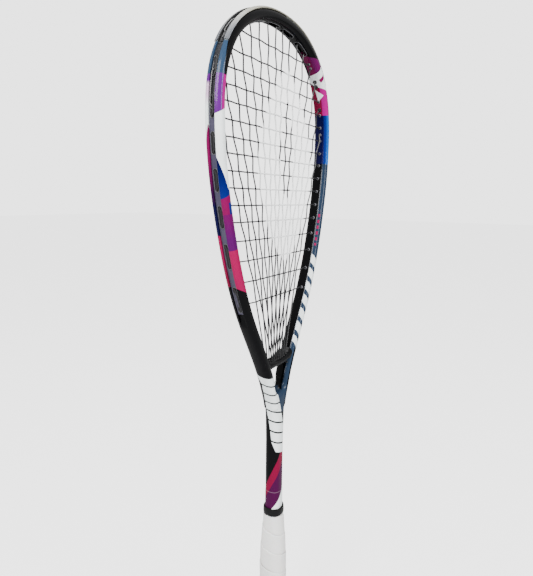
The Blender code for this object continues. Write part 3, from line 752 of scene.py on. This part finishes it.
def wrap_material():
    """White polyurethane cushion tape: fine leather grain, warm and cool tints, painted shade in the crease
    along each lap, and patches of grime.
    """
    g = Graph("wrap_white")
    lap = g.attribute("lap")
    colour = g.mix(g.noise(14.0, 3.0), (0.80, 0.79, 0.77), (0.86, 0.85, 0.83))
    # painted shade: the crease between turns, where each lap tucks under the next, is greyed
    lap_crease_shade = g.before(lap, 0.05, 0.10)
    colour = g.mix(g.times(lap_crease_shade, 0.4), colour, (0.50, 0.49, 0.50))
    grime = g.times(g.step(g.noise(2.5, 5.0), 0.62, 0.2), 0.12)
    colour = g.mix(grime, colour, (0.45, 0.42, 0.38))
    height = g.math("ADD", g.cells(0.75), g.noise(0.35, 3.0))
    return g.surface(colour, (g.noise(1.2, 4.0), 0.52, 0.68), (height, 0.25, 0.12),
                     Specular_IOR_Level=0.4, Subsurface_Weight=0.05)


def rubber(name, first, second, rough, shine=0.0):
    g = Graph(name)
    colour = g.mix(g.noise(1.5, 4.0), first, second)
    return g.surface(colour, (g.noise(0.7, 4.0), rough, rough + 0.15), (g.noise(0.5, 3.0), 0.2, 0.05),
                     Coat_Weight=shine, Specular_IOR_Level=0.14)


def foam(name):
    g = Graph(name)
    cells = g.cells(0.6)
    colour = g.mix(cells, (0.30, 0.25, 0.16), (0.55, 0.48, 0.36))
    return g.surface(colour, (g.noise(1.0, 3.0), 0.75, 0.92), (cells, 0.5, 0.15))


# ---- frame
GROOVE_LIP = 3.9
GROOVE_PROFILE = (  # distance from the middle plane, share of the groove's depth
    (0.0, 1.0), (1.4, 1.0), (2.6, 1.0), (2.98, 0.93), (3.1, 0.75), (3.13, 0.25), (3.2, 0.09),
    (3.34, 0.028), (3.55, 0.0),
)


def groove_depth(s):
    return eased_share(station(s)[0][1], GROOVE_END - GROOVE_FADE, GROOVE_END)


def beam_reach(y):
    """Half width of the beam at a depth."""
    return BEAM_HALF_WIDTH * (1 - (abs(y) / BEAM_HALF_DEPTH) ** BEAM_POWER) ** (1 / BEAM_POWER)


def beam_skin_section(groove):
    upper = []
    for y, share in GROOVE_PROFILE:
        upper.append((beam_reach(y) - share * groove * (beam_reach(y) - GROOVE_FLOOR), y))
    first = math.degrees(math.asin((GROOVE_LIP / BEAM_HALF_DEPTH) ** (BEAM_POWER / 2)))
    for angle in np.linspace(first, 180.0, 25):
        out, y = round_point(math.radians(angle), BEAM_HALF_WIDTH, BEAM_HALF_DEPTH, BEAM_POWER)
        upper.append((out, abs(y)))
    return upper + [(out, -y) for out, y in upper[-2:0:-1]]


def oblong(middle, straight, radius, count, shares):
    """(station, y) points around a slot with round ends."""
    outline = []
    for way in (1, -1):
        for angle in np.linspace(-math.pi / 2, math.pi / 2, count):
            outline.append((middle + way * (straight + radius * math.cos(angle)),
                            way * radius * math.sin(angle)))
        outline += [(middle + way * straight * share, way * radius) for share in shares]
    return outline


def port_outline(pair, grow=0.0, count=8):
    """(station, y) points around the oblong port of two mains."""
    a, b = (MAIN_STATIONS[i] for i in pair)
    straight = abs(a - b) / 2 + PORT_END - PORT_HALF
    return oblong((a + b) / 2, straight, PORT_HALF + grow, count, (0.5, 0.0, -0.5))


def soften(mesh, low, high, rounds):
    """Relaxes the skin between two heights, to melt the arms into the shaft."""
    work = bmesh.new()
    work.from_mesh(mesh)
    bmesh.ops.remove_doubles(work, verts=work.verts, dist=2e-5)
    for _ in range(rounds):
        moved = {}
        for vert in work.verts:
            height = vert.co.z * 1000
            if low < height < high and vert.link_edges:
                fade = min(1.0, (height - low) / 8.0, (high - height) / 8.0)
                total = sum((edge.other_vert(vert).co for edge in vert.link_edges), Vector())
                moved[vert] = vert.co.lerp(total / len(vert.link_edges), 0.45 * fade)
        for vert, spot in moved.items():
            vert.co = spot
    work.to_mesh(mesh)
    work.free()


def build_frame_skin(mat):
    skin = add_mesh("frame_skin", *swept(lambda s: beam_skin_section(groove_depth(s)), 0, LINE_LENGTH, 421))
    levels = [*np.linspace(SHAFT_FOOT, SHAFT_KNEE, 30), *np.linspace(SHAFT_FLARE, CROTCH_HEIGHT, 34)]
    rings = []
    for height in levels:
        half_x, half_y = between(SHAFT_SECTIONS, height)
        rings.append([(x, y, height) for x, y in oval(half_x, half_y, SHAFT_POWER, 64)])
    combine(skin, add_mesh("shaft_blank", *loft(rings)), "UNION")
    rings = []
    depths, radii = zip(*CROTCH_SECTIONS)
    for depth in np.linspace(-CROTCH_DEPTH, CROTCH_DEPTH, 29):
        radius = float(np.interp(depth, depths, radii))
        rings.append([(x, depth, CROTCH_HEIGHT + z) for x, z in oval(radius, radius, 2.0, 72)])
    combine(skin, add_mesh("crotch_cut", *loft(rings)), "DIFFERENCE")
    soften(skin.data, *MELTED, 10)
    for pair in PORT_PAIRS:
        outline = port_outline(pair)
        rings = [[on_beam(s, out, y) for s, y in outline] for out in (PORT_FLOOR, -8.5)]
        combine(skin, add_mesh("port_blank", *loft(rings)), "DIFFERENCE")
    write_paint_places(skin.data)
    return place(skin, "carbon_lacquer", mat, "frame")


def build_port_rims(mat):
    """A thin moulded lip around each port, in light grey that is partly a painted highlight of the port's
    lit edge.
    """
    rims = []
    for pair in PORT_PAIRS:
        path = [on_beam(s, -beam_reach(y) - 0.02, y) for s, y in port_outline(pair, 0.12, 10)]
        rims.append(tube(path, 0.34, 8, closed=True))
    return place(add_mesh("port_rims", *joined(rims)), "grey_nylon", mat)


def build_bridge_skin(mat):
    """The yoke, flared where it runs into the arms."""
    rings = []
    for x in np.linspace(-BRIDGE_REACH * 0.78, BRIDGE_REACH * 0.78, 61):
        high, low = bridge_height(x, 1), bridge_height(x, -1)
        flare = math.exp((abs(x) - 21.0) / 2.2)
        middle, half = (high + low) / 2, (high - low) / 2 + 1.1 * min(flare, 1.6)
        half_depth = BRIDGE_HALF_DEPTH - 0.5 * min(flare, 1.0)
        rings.append([(x, y, middle + z) for y, z in oval(half_depth, half, 2.8, 48)])
    return place(add_mesh("bridge_skin", *loft(rings)), "carbon_lacquer", mat, "throat_bridge")


# ---- bumper, strips and grommets
BUMPER_UNDERSIDE = ((5.0, 3.08), (5.42, 3.2), (4.97, 5.0), (4.25, 6.5), (4.05, 6.85), (4.14, 7.06))
BUMPER_THIN = (     # (out, y) rows of the wing's outside at the guard's ends
    (4.34, 7.08), (4.62, 6.55), (5.0, 5.8), (5.3, 5.12), (5.6, 4.2), (5.74, 3.6), (5.76, 3.1), (5.62, 2.8),
)
BUMPER_FULL = (     # and away from them
    (4.85, 7.5), (5.15, 7.1), (5.62, 6.3), (5.95, 5.6), (6.35, 4.6), (6.5, 3.9), (6.5, 3.1), (6.3, 2.68),
)
STRIP_HALF = (
    (STRIP_LOW, 2.82), (3.7, 2.86), (3.95, 2.8), (4.0, 2.62), (3.85, 2.45), (3.5, 2.3), (3.42, 1.2),
    (3.42, 0),
)


def bumper_section(s):
    from_end = min(abs(s - station_at_height(BUMPER_END, side)) for side in (-1, 1))
    share = eased_share(from_end, 0.0, BUMPER_TAPER)
    outer = [(a + (c - a) * share, b + (d - b) * share) for (a, b), (c, d) in zip(BUMPER_THIN, BUMPER_FULL)]
    wing = [(STRIP_LOW, 2.8), *BUMPER_UNDERSIDE, *outer, (5.2, 2.5), (3.75, 2.35), (3.55, 2.1)]
    return wing + [(out, -y) for out, y in wing[::-1]]


def build_bumper_skin(mat):
    ends = [station_at_height(BUMPER_END, side) for side in (-1, 1)]
    points, faces = swept(bumper_section, *ends, 201)
    return place(add_mesh("bumper_skin", points, faces, 40.0), "pale_nylon", mat, "bumper_guard")


def loops():
    """(first station, last station) of every string loop outside the head."""
    found = [sorted((MAIN_STATIONS[i], MAIN_STATIONS[i + 1])) for i in range(1, MAINS, 2)]
    for k in range(1, CROSSES):
        side = -1 if k % 2 else 1
        found.append(sorted((CROSS_STATIONS[k, side], CROSS_STATIONS[k + 1, side])))
    return found


def stadium(first, last, radius, out):
    outline = oblong((first + last) / 2, abs(first - last) / 2, radius, 9, (0.6, 0.2, -0.2, -0.6))
    return [on_beam(s, out, y) for s, y in outline]


def build_strips(mat_strip, mat_dark, mat_rim):
    """The strips in the groove, with a dark pocket plate of painted shade and a rim where each string
    loops.
    """
    section = [*STRIP_HALF, *((out, -y) for out, y in STRIP_HALF[-2::-1])]
    for name, side in (("left", -1), ("right", 1)):
        low, high = sorted((station_at_height(STRIP_END, side), station_at_height(STRIP_START, side)))
        strip = add_mesh(f"strip_skin_{name}", *swept(lambda s: section, low, high, 141))
        place(strip, "grey_nylon", mat_strip, f"grommet_strip_{name}")
        shade_pockets, rims = [], []
        for first, last in loops():
            if low - 1 < first and last < high + 1:
                # painted shade: a thin black plate fills each loop's pocket for the shade in the recess
                rows = ((1.95, 3.3), (1.95, 3.5), (1.7, 3.56))
                shade_pockets.append(loft([stadium(first, last, radius, out) for radius, out in rows]))
                rims.append(tube(stadium(first, last, 2.1, 3.62), 0.24, 8, closed=True))
        place(add_mesh(f"loop_pocket_shade_{name}", *joined(shade_pockets)), "grey_nylon", mat_dark)
        place(add_mesh(f"loop_rims_{name}", *joined(rims)), "grey_nylon", mat_rim)


def turned(base, outward, profile, sides=14):
    """A closed solid of revolution about `outward`, from (distance, radius) rows."""
    base, outward = np.array(base, float), np.array(outward, float)
    across = np.array([0.0, 1.0, 0.0]) if abs(outward[1]) < 0.9 else np.array([1.0, 0.0, 0.0])
    other = np.cross(outward, across)
    rings = [ring(base + outward * reach, across, other, radius, sides) for reach, radius in profile]
    return loft(rings, closed=True)


def barrel(s, floor, tip):
    """A grommet barrel standing out of the inner face, with its flared root and rounded mouth."""
    (x, z), (nx, nz) = station(s)
    length = floor - tip
    profile = ((-0.6, 1.5), (0.0, 1.62), (0.16, 1.6), (0.3, 1.36), (length - 0.2, 1.22),
               (length - 0.04, 1.14), (length, 1.0), (length - 0.05, 0.86), (-0.6, 0.72))
    return turned((x + nx * floor, 0.0, z + nz * floor), (-nx, 0.0, -nz), profile)


def build_barrels(mat_light, mat_dark):
    """Barrel tips on the head's inner face: grey on the strips, black in the ports and near the corner."""
    dark = {MAIN_STATIONS[i] for i in (3, 14, 15)} | {CROSS_STATIONS[2, 1]}
    groups = {"barrels_grey": [], "barrels_black": []}
    for s in HOLES:
        if s in PORTED:
            groups["barrels_black"].append(barrel(s, PORT_FLOOR, PORT_FLOOR - 0.7))
        elif s in dark:
            groups["barrels_black"].append(barrel(s, -BEAM_HALF_WIDTH, BARREL_TIP - 0.1))
            nx, nz = station(s)[1]
            collar = ((0.0, 2.3), (0.45, 2.25), (0.62, 1.9), (0.62, 1.0), (0.0, 1.0))
            base = on_beam(s, -BEAM_HALF_WIDTH + 0.3, 0.0)
            groups["barrels_black"].append(turned(base, (-nx, 0.0, -nz), collar))
        else:
            groups["barrels_grey"].append(barrel(s, -BEAM_HALF_WIDTH, BARREL_TIP - 0.1))
    for (name, bodies), mat in zip(groups.items(), (mat_light, mat_dark)):
        place(add_mesh(name, *joined(bodies)), "grey_nylon", mat)


def build_bridge_strip(mat):
    rings = []
    for x in np.linspace(-16.1, 16.1, 33):
        base = bridge_height(x, -1) - 0.28
        section = ((-5.2, 0.0), (5.2, 0.0), (5.3, -0.25), (5.1, -0.75), (4.8, -0.84), (-4.8, -0.84),
                   (-5.1, -0.75), (-5.3, -0.25))
        rings.append([(x, y, base + z) for y, z in section])
    bodies = [loft(rings)]
    for i in range(1, MAINS + 1):
        x, row = main_x(i, MAIN_LOW_HEIGHT), -MAIN_ROW if i % 2 == 0 else MAIN_ROW
        for level, way in ((1, 1.0), (-1, -1.0)):
            profile = ((-0.8, 1.3), (0.0, 1.35), (0.2, 1.25), (0.85, 1.16), (1.0, 1.0), (0.95, 0.8),
                       (-0.8, 0.7))
            bodies.append(turned((x, row, bridge_height(x, level)), (0.0, 0.0, way), profile, 12))
    strip = add_mesh("bridge_strip_skin", *joined(bodies))
    return place(strip, "grey_nylon", mat, "bridge_grommet_strip")


# ---- strings
def groove_loop(start, end, lane):
    way = 1 if end > start else -1
    first, last = start + 2.0 * way, end - 2.0 * way
    count = max(2, 1 + round(abs(last - first) / 3.5))
    points = [on_beam(start, STRING_SEAT, 0.0)]
    points += [on_beam(s, STRING_SEAT, lane) for s in np.linspace(first, last, count)]
    return points + [on_beam(end, STRING_SEAT, 0.0)]


def barrel_mouth(s):
    return on_beam(s, BARREL_TIP - BARREL_OVERHANG, 0.0)


def main_run(i):
    points = [barrel_mouth(MAIN_STATIONS[i])]
    for k in range(1, CROSSES + 1):
        height = cross_height(k)
        if height <= points[0][2] - 2.0:
            points.append((main_x(i, height), -WEAVE if (i + k) % 2 == 0 else WEAVE, height))
    row = -MAIN_ROW if i % 2 == 0 else MAIN_ROW
    x = main_x(i, MAIN_LOW_HEIGHT)
    points.append((x, row, bridge_height(x, 1) + 1.9))
    points.append((x, row, bridge_height(x, -1) - 2.0))
    return points


def cross_run(k):
    height = cross_height(k)
    points = [barrel_mouth(CROSS_STATIONS[k, -1])]
    for i in range(1, MAINS + 1):
        if height <= barrel_mouth(MAIN_STATIONS[i])[2] - 2.0:
            points.append((main_x(i, height), WEAVE if (i + k) % 2 == 0 else -WEAVE, height))
    return points + [barrel_mouth(CROSS_STATIONS[k, 1])]


def eased(points, longest=26.0):
    """Adds points so that the string bends smoothly over and under at each crossing."""
    path = [points[0]]
    for a, b in zip(points, points[1:]):
        length = math.dist(a, b)
        parts = 1 if length < 3.2 else 5
        for n in range(1, parts + 1):
            u = n / parts
            bend = (1 - math.cos(math.pi * u)) / 2 if length < longest else u
            path.append((a[0] + (b[0] - a[0]) * u, a[1] + (b[1] - a[1]) * bend, a[2] + (b[2] - a[2]) * u))
    return path


def build_strings(mat):
    path = []
    for i in range(1, MAINS + 1):
        down = main_run(i)
        path += down if i % 2 == 0 else down[::-1]
        if i % 2:
            path += groove_loop(MAIN_STATIONS[i], MAIN_STATIONS[i + 1], LANE)
    for end, order in ((path[0], -1), (path[-1], 1)):
        knot = [(end[0], end[1] * stretch, end[2] - 0.5) for stretch in (1.4, 1.65, 1.9)]
        path = knot[::-1] + path if order < 0 else path + knot
    path = eased(path)
    last, knots = len(path) - 1, {}
    for k, radius in enumerate((0.5, 0.95, 0.9)):
        knots[k] = knots[last - k] = radius
    skin = add_mesh("main_string_skin", *tube(path, STRING_RADIUS, 8, swell=knots))
    place(skin, "string_black", mat, "main_string")
    path = []
    for k in range(1, CROSSES + 1):
        run = cross_run(k)
        path += run[::-1] if k % 2 else run
        if k < CROSSES:
            side = -1 if k % 2 else 1
            path += groove_loop(CROSS_STATIONS[k, side], CROSS_STATIONS[k + 1, side], -LANE)
    start = [on_beam(CROSS_STATIONS[1, 1], out, 0.0) for out in (5.6, 4.6, 3.9)]
    end = [on_beam(CROSS_STATIONS[CROSSES, 1], out, 0.0) for out in (3.9, 4.6, 5.6)]
    skin = add_mesh("cross_string_skin", *tube(eased(start + path + end), STRING_RADIUS, 8))
    place(skin, "string_black", mat, "cross_string")


# ---- handle
LAP_PROFILE = (  # place across one turn of the wrap, height of its surface under the outside
    (0.0, -0.46), (0.012, -0.5), (0.03, -0.45), (0.06, -0.39), (0.14, -0.33), (0.3, -0.25), (0.5, -0.15),
    (0.7, -0.06), (0.84, 0.01), (0.91, 0.07), (0.95, 0.1), (0.975, 0.06), (0.99, -0.07), (0.998, -0.28),
    (1.0, -0.46),
)


def build_wrap_skin(mat):
    """The cushion tape as one helical skin with a rounded, proud upper lip on each turn."""
    sides = 96
    turns = (WRAP_TOP - WRAP_BOTTOM) / WRAP_PITCH
    columns = range(int(sides * (turns + 1)) + 2)
    points, laps = [], []
    for j in columns:
        angle = -2 * math.pi * j / sides
        wave = 0.35 * math.sin(j * 0.031) + 0.2 * math.sin(j * 0.113)
        for share, grow in LAP_PROFILE:
            height = WRAP_BOTTOM + (j / sides - 1 + share) * WRAP_PITCH + wave
            height = min(WRAP_TOP, max(WRAP_BOTTOM, height))
            half_x, half_y = between(GRIP_SHAPE, height)
            points.append((*round_point(angle, half_x + grow, half_y + grow, GRIP_POWER), height))
            laps.append(min(share, 1.0 if share < 0.99 else 0.0))
    size, faces = len(LAP_PROFILE), []
    for j in columns[:-1]:
        for k in range(size - 1):
            corners = (j * size + k, (j + 1) * size + k, (j + 1) * size + k + 1, j * size + k + 1)
            if len({points[c][2] for c in corners}) > 1:
                faces.append(corners)
    skin = add_mesh("wrap_skin", points, faces, 60.0)
    values = skin.data.attributes.new("lap", "FLOAT", "POINT")
    values.data.foreach_set("value", laps)
    return place(skin, "wrap_white", mat, "grip_wrap")


def sleeve(name, rows, count=72):
    """A closed tube from (height, half x, half y, power) rows."""
    rings = [[(x, y, z) for x, y in oval(a, b, power, count)] for z, a, b, power in rows]
    return add_mesh(name, *loft(rings, closed=True))


def build_collar(mat):
    low, high = COLLAR_BOTTOM, COLLAR_TOP
    rows = [(low, 10.0, 10.1, 2.3), (low + 0.15, 10.4, 10.5, 2.3), (low + 0.6, 10.58, 10.7, 2.3),
            (low + 2.6, 10.72, 10.8, 2.3), (low + 5.0, 10.66, 10.72, 2.3), (high - 1.6, 10.5, 10.5, 2.35),
            (high - 0.7, 10.38, 10.3, 2.35), (high - 0.2, 10.16, 9.95, 2.4), (high, 9.95, 9.62, 2.5),
            (high - 0.1, 9.72, 9.34, 2.5), (low, 9.72, 9.34, 2.5)]
    return place(sleeve("collar_skin", rows), "collar_rubber", mat, "grip_collar")


def build_tape(mat):
    """Clear film over the foot of the shaft: the print shows through, with a soft upper edge."""
    low, high = TAPE_BOTTOM, TAPE_TOP
    rows = [(low, 9.0, 8.6, 2.5), (high - 9.0, 9.0, 8.6, 2.5), (high - 2.0, 8.94, 8.54, 2.5),
            (high - 0.4, 8.9, 8.5, 2.5), (high, 8.8, 8.4, 2.5), (high, 8.74, 8.34, 2.5),
            (low, 8.74, 8.34, 2.5)]
    skin = sleeve("tape_skin", rows)
    write_paint_places(skin.data)
    return place(skin, "tape_black", mat, "finishing_tape")


CAP_PROFILE = (     # height, radius
    (0.9, 0.0), (0.9, 9.2), (0.5, 9.35), (0.12, 9.6), (0.0, 10.0), (0.0, 12.9), (0.15, 13.6), (0.6, 14.15),
    (1.2, 14.35), (2.2, 14.35), (2.8, 14.1), (3.05, 13.7), (3.05, 13.0),
)
BADGE_PROFILE = (
    (0.95, 9.0), (0.5, 9.0), (0.36, 8.85), (0.3, 8.5), (0.42, 7.6), (0.42, 6.4), (0.3, 6.1), (0.22, 3.0),
    (0.2, 0.05),
)


def build_butt(mat_cap, mat_badge):
    rings = []
    for z, half in CAP_PROFILE:
        grow = max(0.0, min(1.0, (half - 10.0) / 3.0))
        shape = oval(max(half, 0.05), max(half + grow, 0.05), 2.0 + 0.3 * grow, 72)
        rings.append([(x, y, z) for x, y in shape])
    place(add_mesh("butt_skin", *loft(rings)), "cap_plastic", mat_cap, "butt_cap")
    rings = [[(x, y, z) for x, y in oval(half, half, 2.0, 72)] for z, half in BADGE_PROFILE]
    place(add_mesh("badge_skin", *loft(rings)), "badge_plastic", mat_badge, "butt_badge")


def finish_shells(mat):
    for name in ("handle_shell_front", "handle_shell_back"):
        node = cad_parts[name]
        node.data.materials.clear()
        node.data.materials.append(mat)


# ---- studio and camera
def build_studio():
    size = 12.0
    mesh = bpy.data.meshes.new("floor")
    corners = [(-size, -size, 0), (size, -size, 0), (size, size, 0), (-size, size, 0)]
    mesh.from_pydata(corners, [], [(0, 1, 2, 3)])
    floor = link("floor", mesh)
    g = Graph("floor")
    seen = g.tree.nodes.new("ShaderNodeLightPath").outputs["Is Camera Ray"]
    g.put(Base_Color=g.mix(g.noise(400.0), (0.38, 0.38, 0.38), (0.40, 0.40, 0.40)), Roughness=0.9)
    g.put(Emission_Color=(1.0, 1.0, 1.0), Emission_Strength=g.times(seen, 2.4))
    mesh.materials.append(g.made)

    world = bpy.data.worlds.new("studio")
    world.use_nodes = True
    tree = world.node_tree
    tree.nodes["Background"].inputs["Color"].default_value = (1, 1, 1, 1)
    seen = tree.nodes.new("ShaderNodeLightPath").outputs["Is Camera Ray"]
    level = tree.nodes.new("ShaderNodeMapRange")
    level.inputs["To Min"].default_value = 0.8
    level.inputs["To Max"].default_value = 3.0
    tree.links.new(seen, level.inputs["Value"])
    tree.links.new(level.outputs["Result"], tree.nodes["Background"].inputs["Strength"])
    bpy.context.scene.world = world

    def softbox(name, spot, aim, wide, tall, power):
        data = bpy.data.lights.new(name, "AREA")
        data.shape = "RECTANGLE"
        data.size, data.size_y, data.energy = wide, tall, power
        lamp = link(name, data)
        lamp.location = spot
        lamp.rotation_euler = (Vector(aim) - Vector(spot)).to_track_quat("-Z", "Y").to_euler()

    softbox("key", (-1.6, -0.1, 1.5), (0, 0, 0.4), 0.6, 1.0, 70.0)
    softbox("fill", (-0.1, -1.7, 1.2), (0, 0, 0.4), 0.6, 0.8, 40.0)
    softbox("top", (0.1, 0.3, 1.9), (0, 0, 0.5), 0.8, 0.8, 16.0)


def build_camera():
    """In front of the -X side, a little above the throat, level but for a slight roll."""
    azimuth, elevation, roll = math.radians(-60.305), math.radians(9.954), math.radians(0.69)
    target, distance = Vector((0.0, 0.0, 0.43506)), 0.49825
    back = Vector((math.sin(azimuth) * math.cos(elevation), -math.cos(azimuth) * math.cos(elevation),
                   math.sin(elevation)))
    right = Vector((math.cos(azimuth), math.sin(azimuth), 0.0))
    up = back.cross(right)
    across = right * math.cos(roll) + up * math.sin(roll)
    above = up * math.cos(roll) - right * math.sin(roll)
    data = bpy.data.cameras.new("camera")
    data.sensor_fit = "HORIZONTAL"
    data.sensor_width = 36.0
    data.lens = data.sensor_width * 500.0 / 533.0     # a focal length of 500 in an image 533 wide
    data.shift_x = -0.01827
    data.shift_y = -0.0040
    data.clip_start = 0.01
    camera = link("camera", data)
    turned_to = Matrix((across, above, back)).transposed().to_4x4()
    camera.matrix_world = Matrix.Translation(target + back * distance) @ turned_to
    bpy.context.scene.camera = camera


def main():
    lilac_grey, smoke = (0.060, 0.052, 0.085), (0.026, 0.026, 0.050)
    light_grey, mid_grey, scuff = (0.12, 0.12, 0.13), (0.07, 0.07, 0.08), (0.12, 0.12, 0.14)
    lacquer = paint_material("carbon_lacquer")
    bumper = bumper_nylon()
    strip = nylon("grey_nylon", lilac_grey, smoke, 0.28, scuff, 0.25, dark_top=True)
    rim = nylon("rim_nylon", light_grey, mid_grey, 0.28, scuff, 0.25, dark_top=True)
    light = nylon("light_grey_nylon", light_grey, mid_grey, 0.25, (0.054, 0.054, 0.0585), 0.35)
    dark = nylon("black_nylon", (0.004, 0.004, 0.005), (0.012, 0.012, 0.013), 0.35,
                 (0.0018, 0.0018, 0.00225), 0.35)
    build_frame_skin(lacquer)
    build_port_rims(light)
    build_bridge_skin(black_lacquer())
    build_bumper_skin(bumper)
    build_strips(strip, dark, rim)
    build_barrels(light, dark)
    build_bridge_strip(dark)
    build_strings(string_material())
    build_wrap_skin(wrap_material())
    build_collar(rubber("collar_rubber", (0.0012, 0.0012, 0.0012), (0.004, 0.004, 0.0045), 0.14, 0.12))
    build_tape(paint_material("print_under_film", film=True))
    build_butt(rubber("cap_plastic", (0.006, 0.006, 0.006), (0.02, 0.02, 0.02), 0.4),
               rubber("badge_plastic", (0.30, 0.004, 0.07), (0.22, 0.003, 0.05), 0.3, 0.3))
    finish_shells(foam("handle_foam"))
    build_studio()
    build_camera()


main()
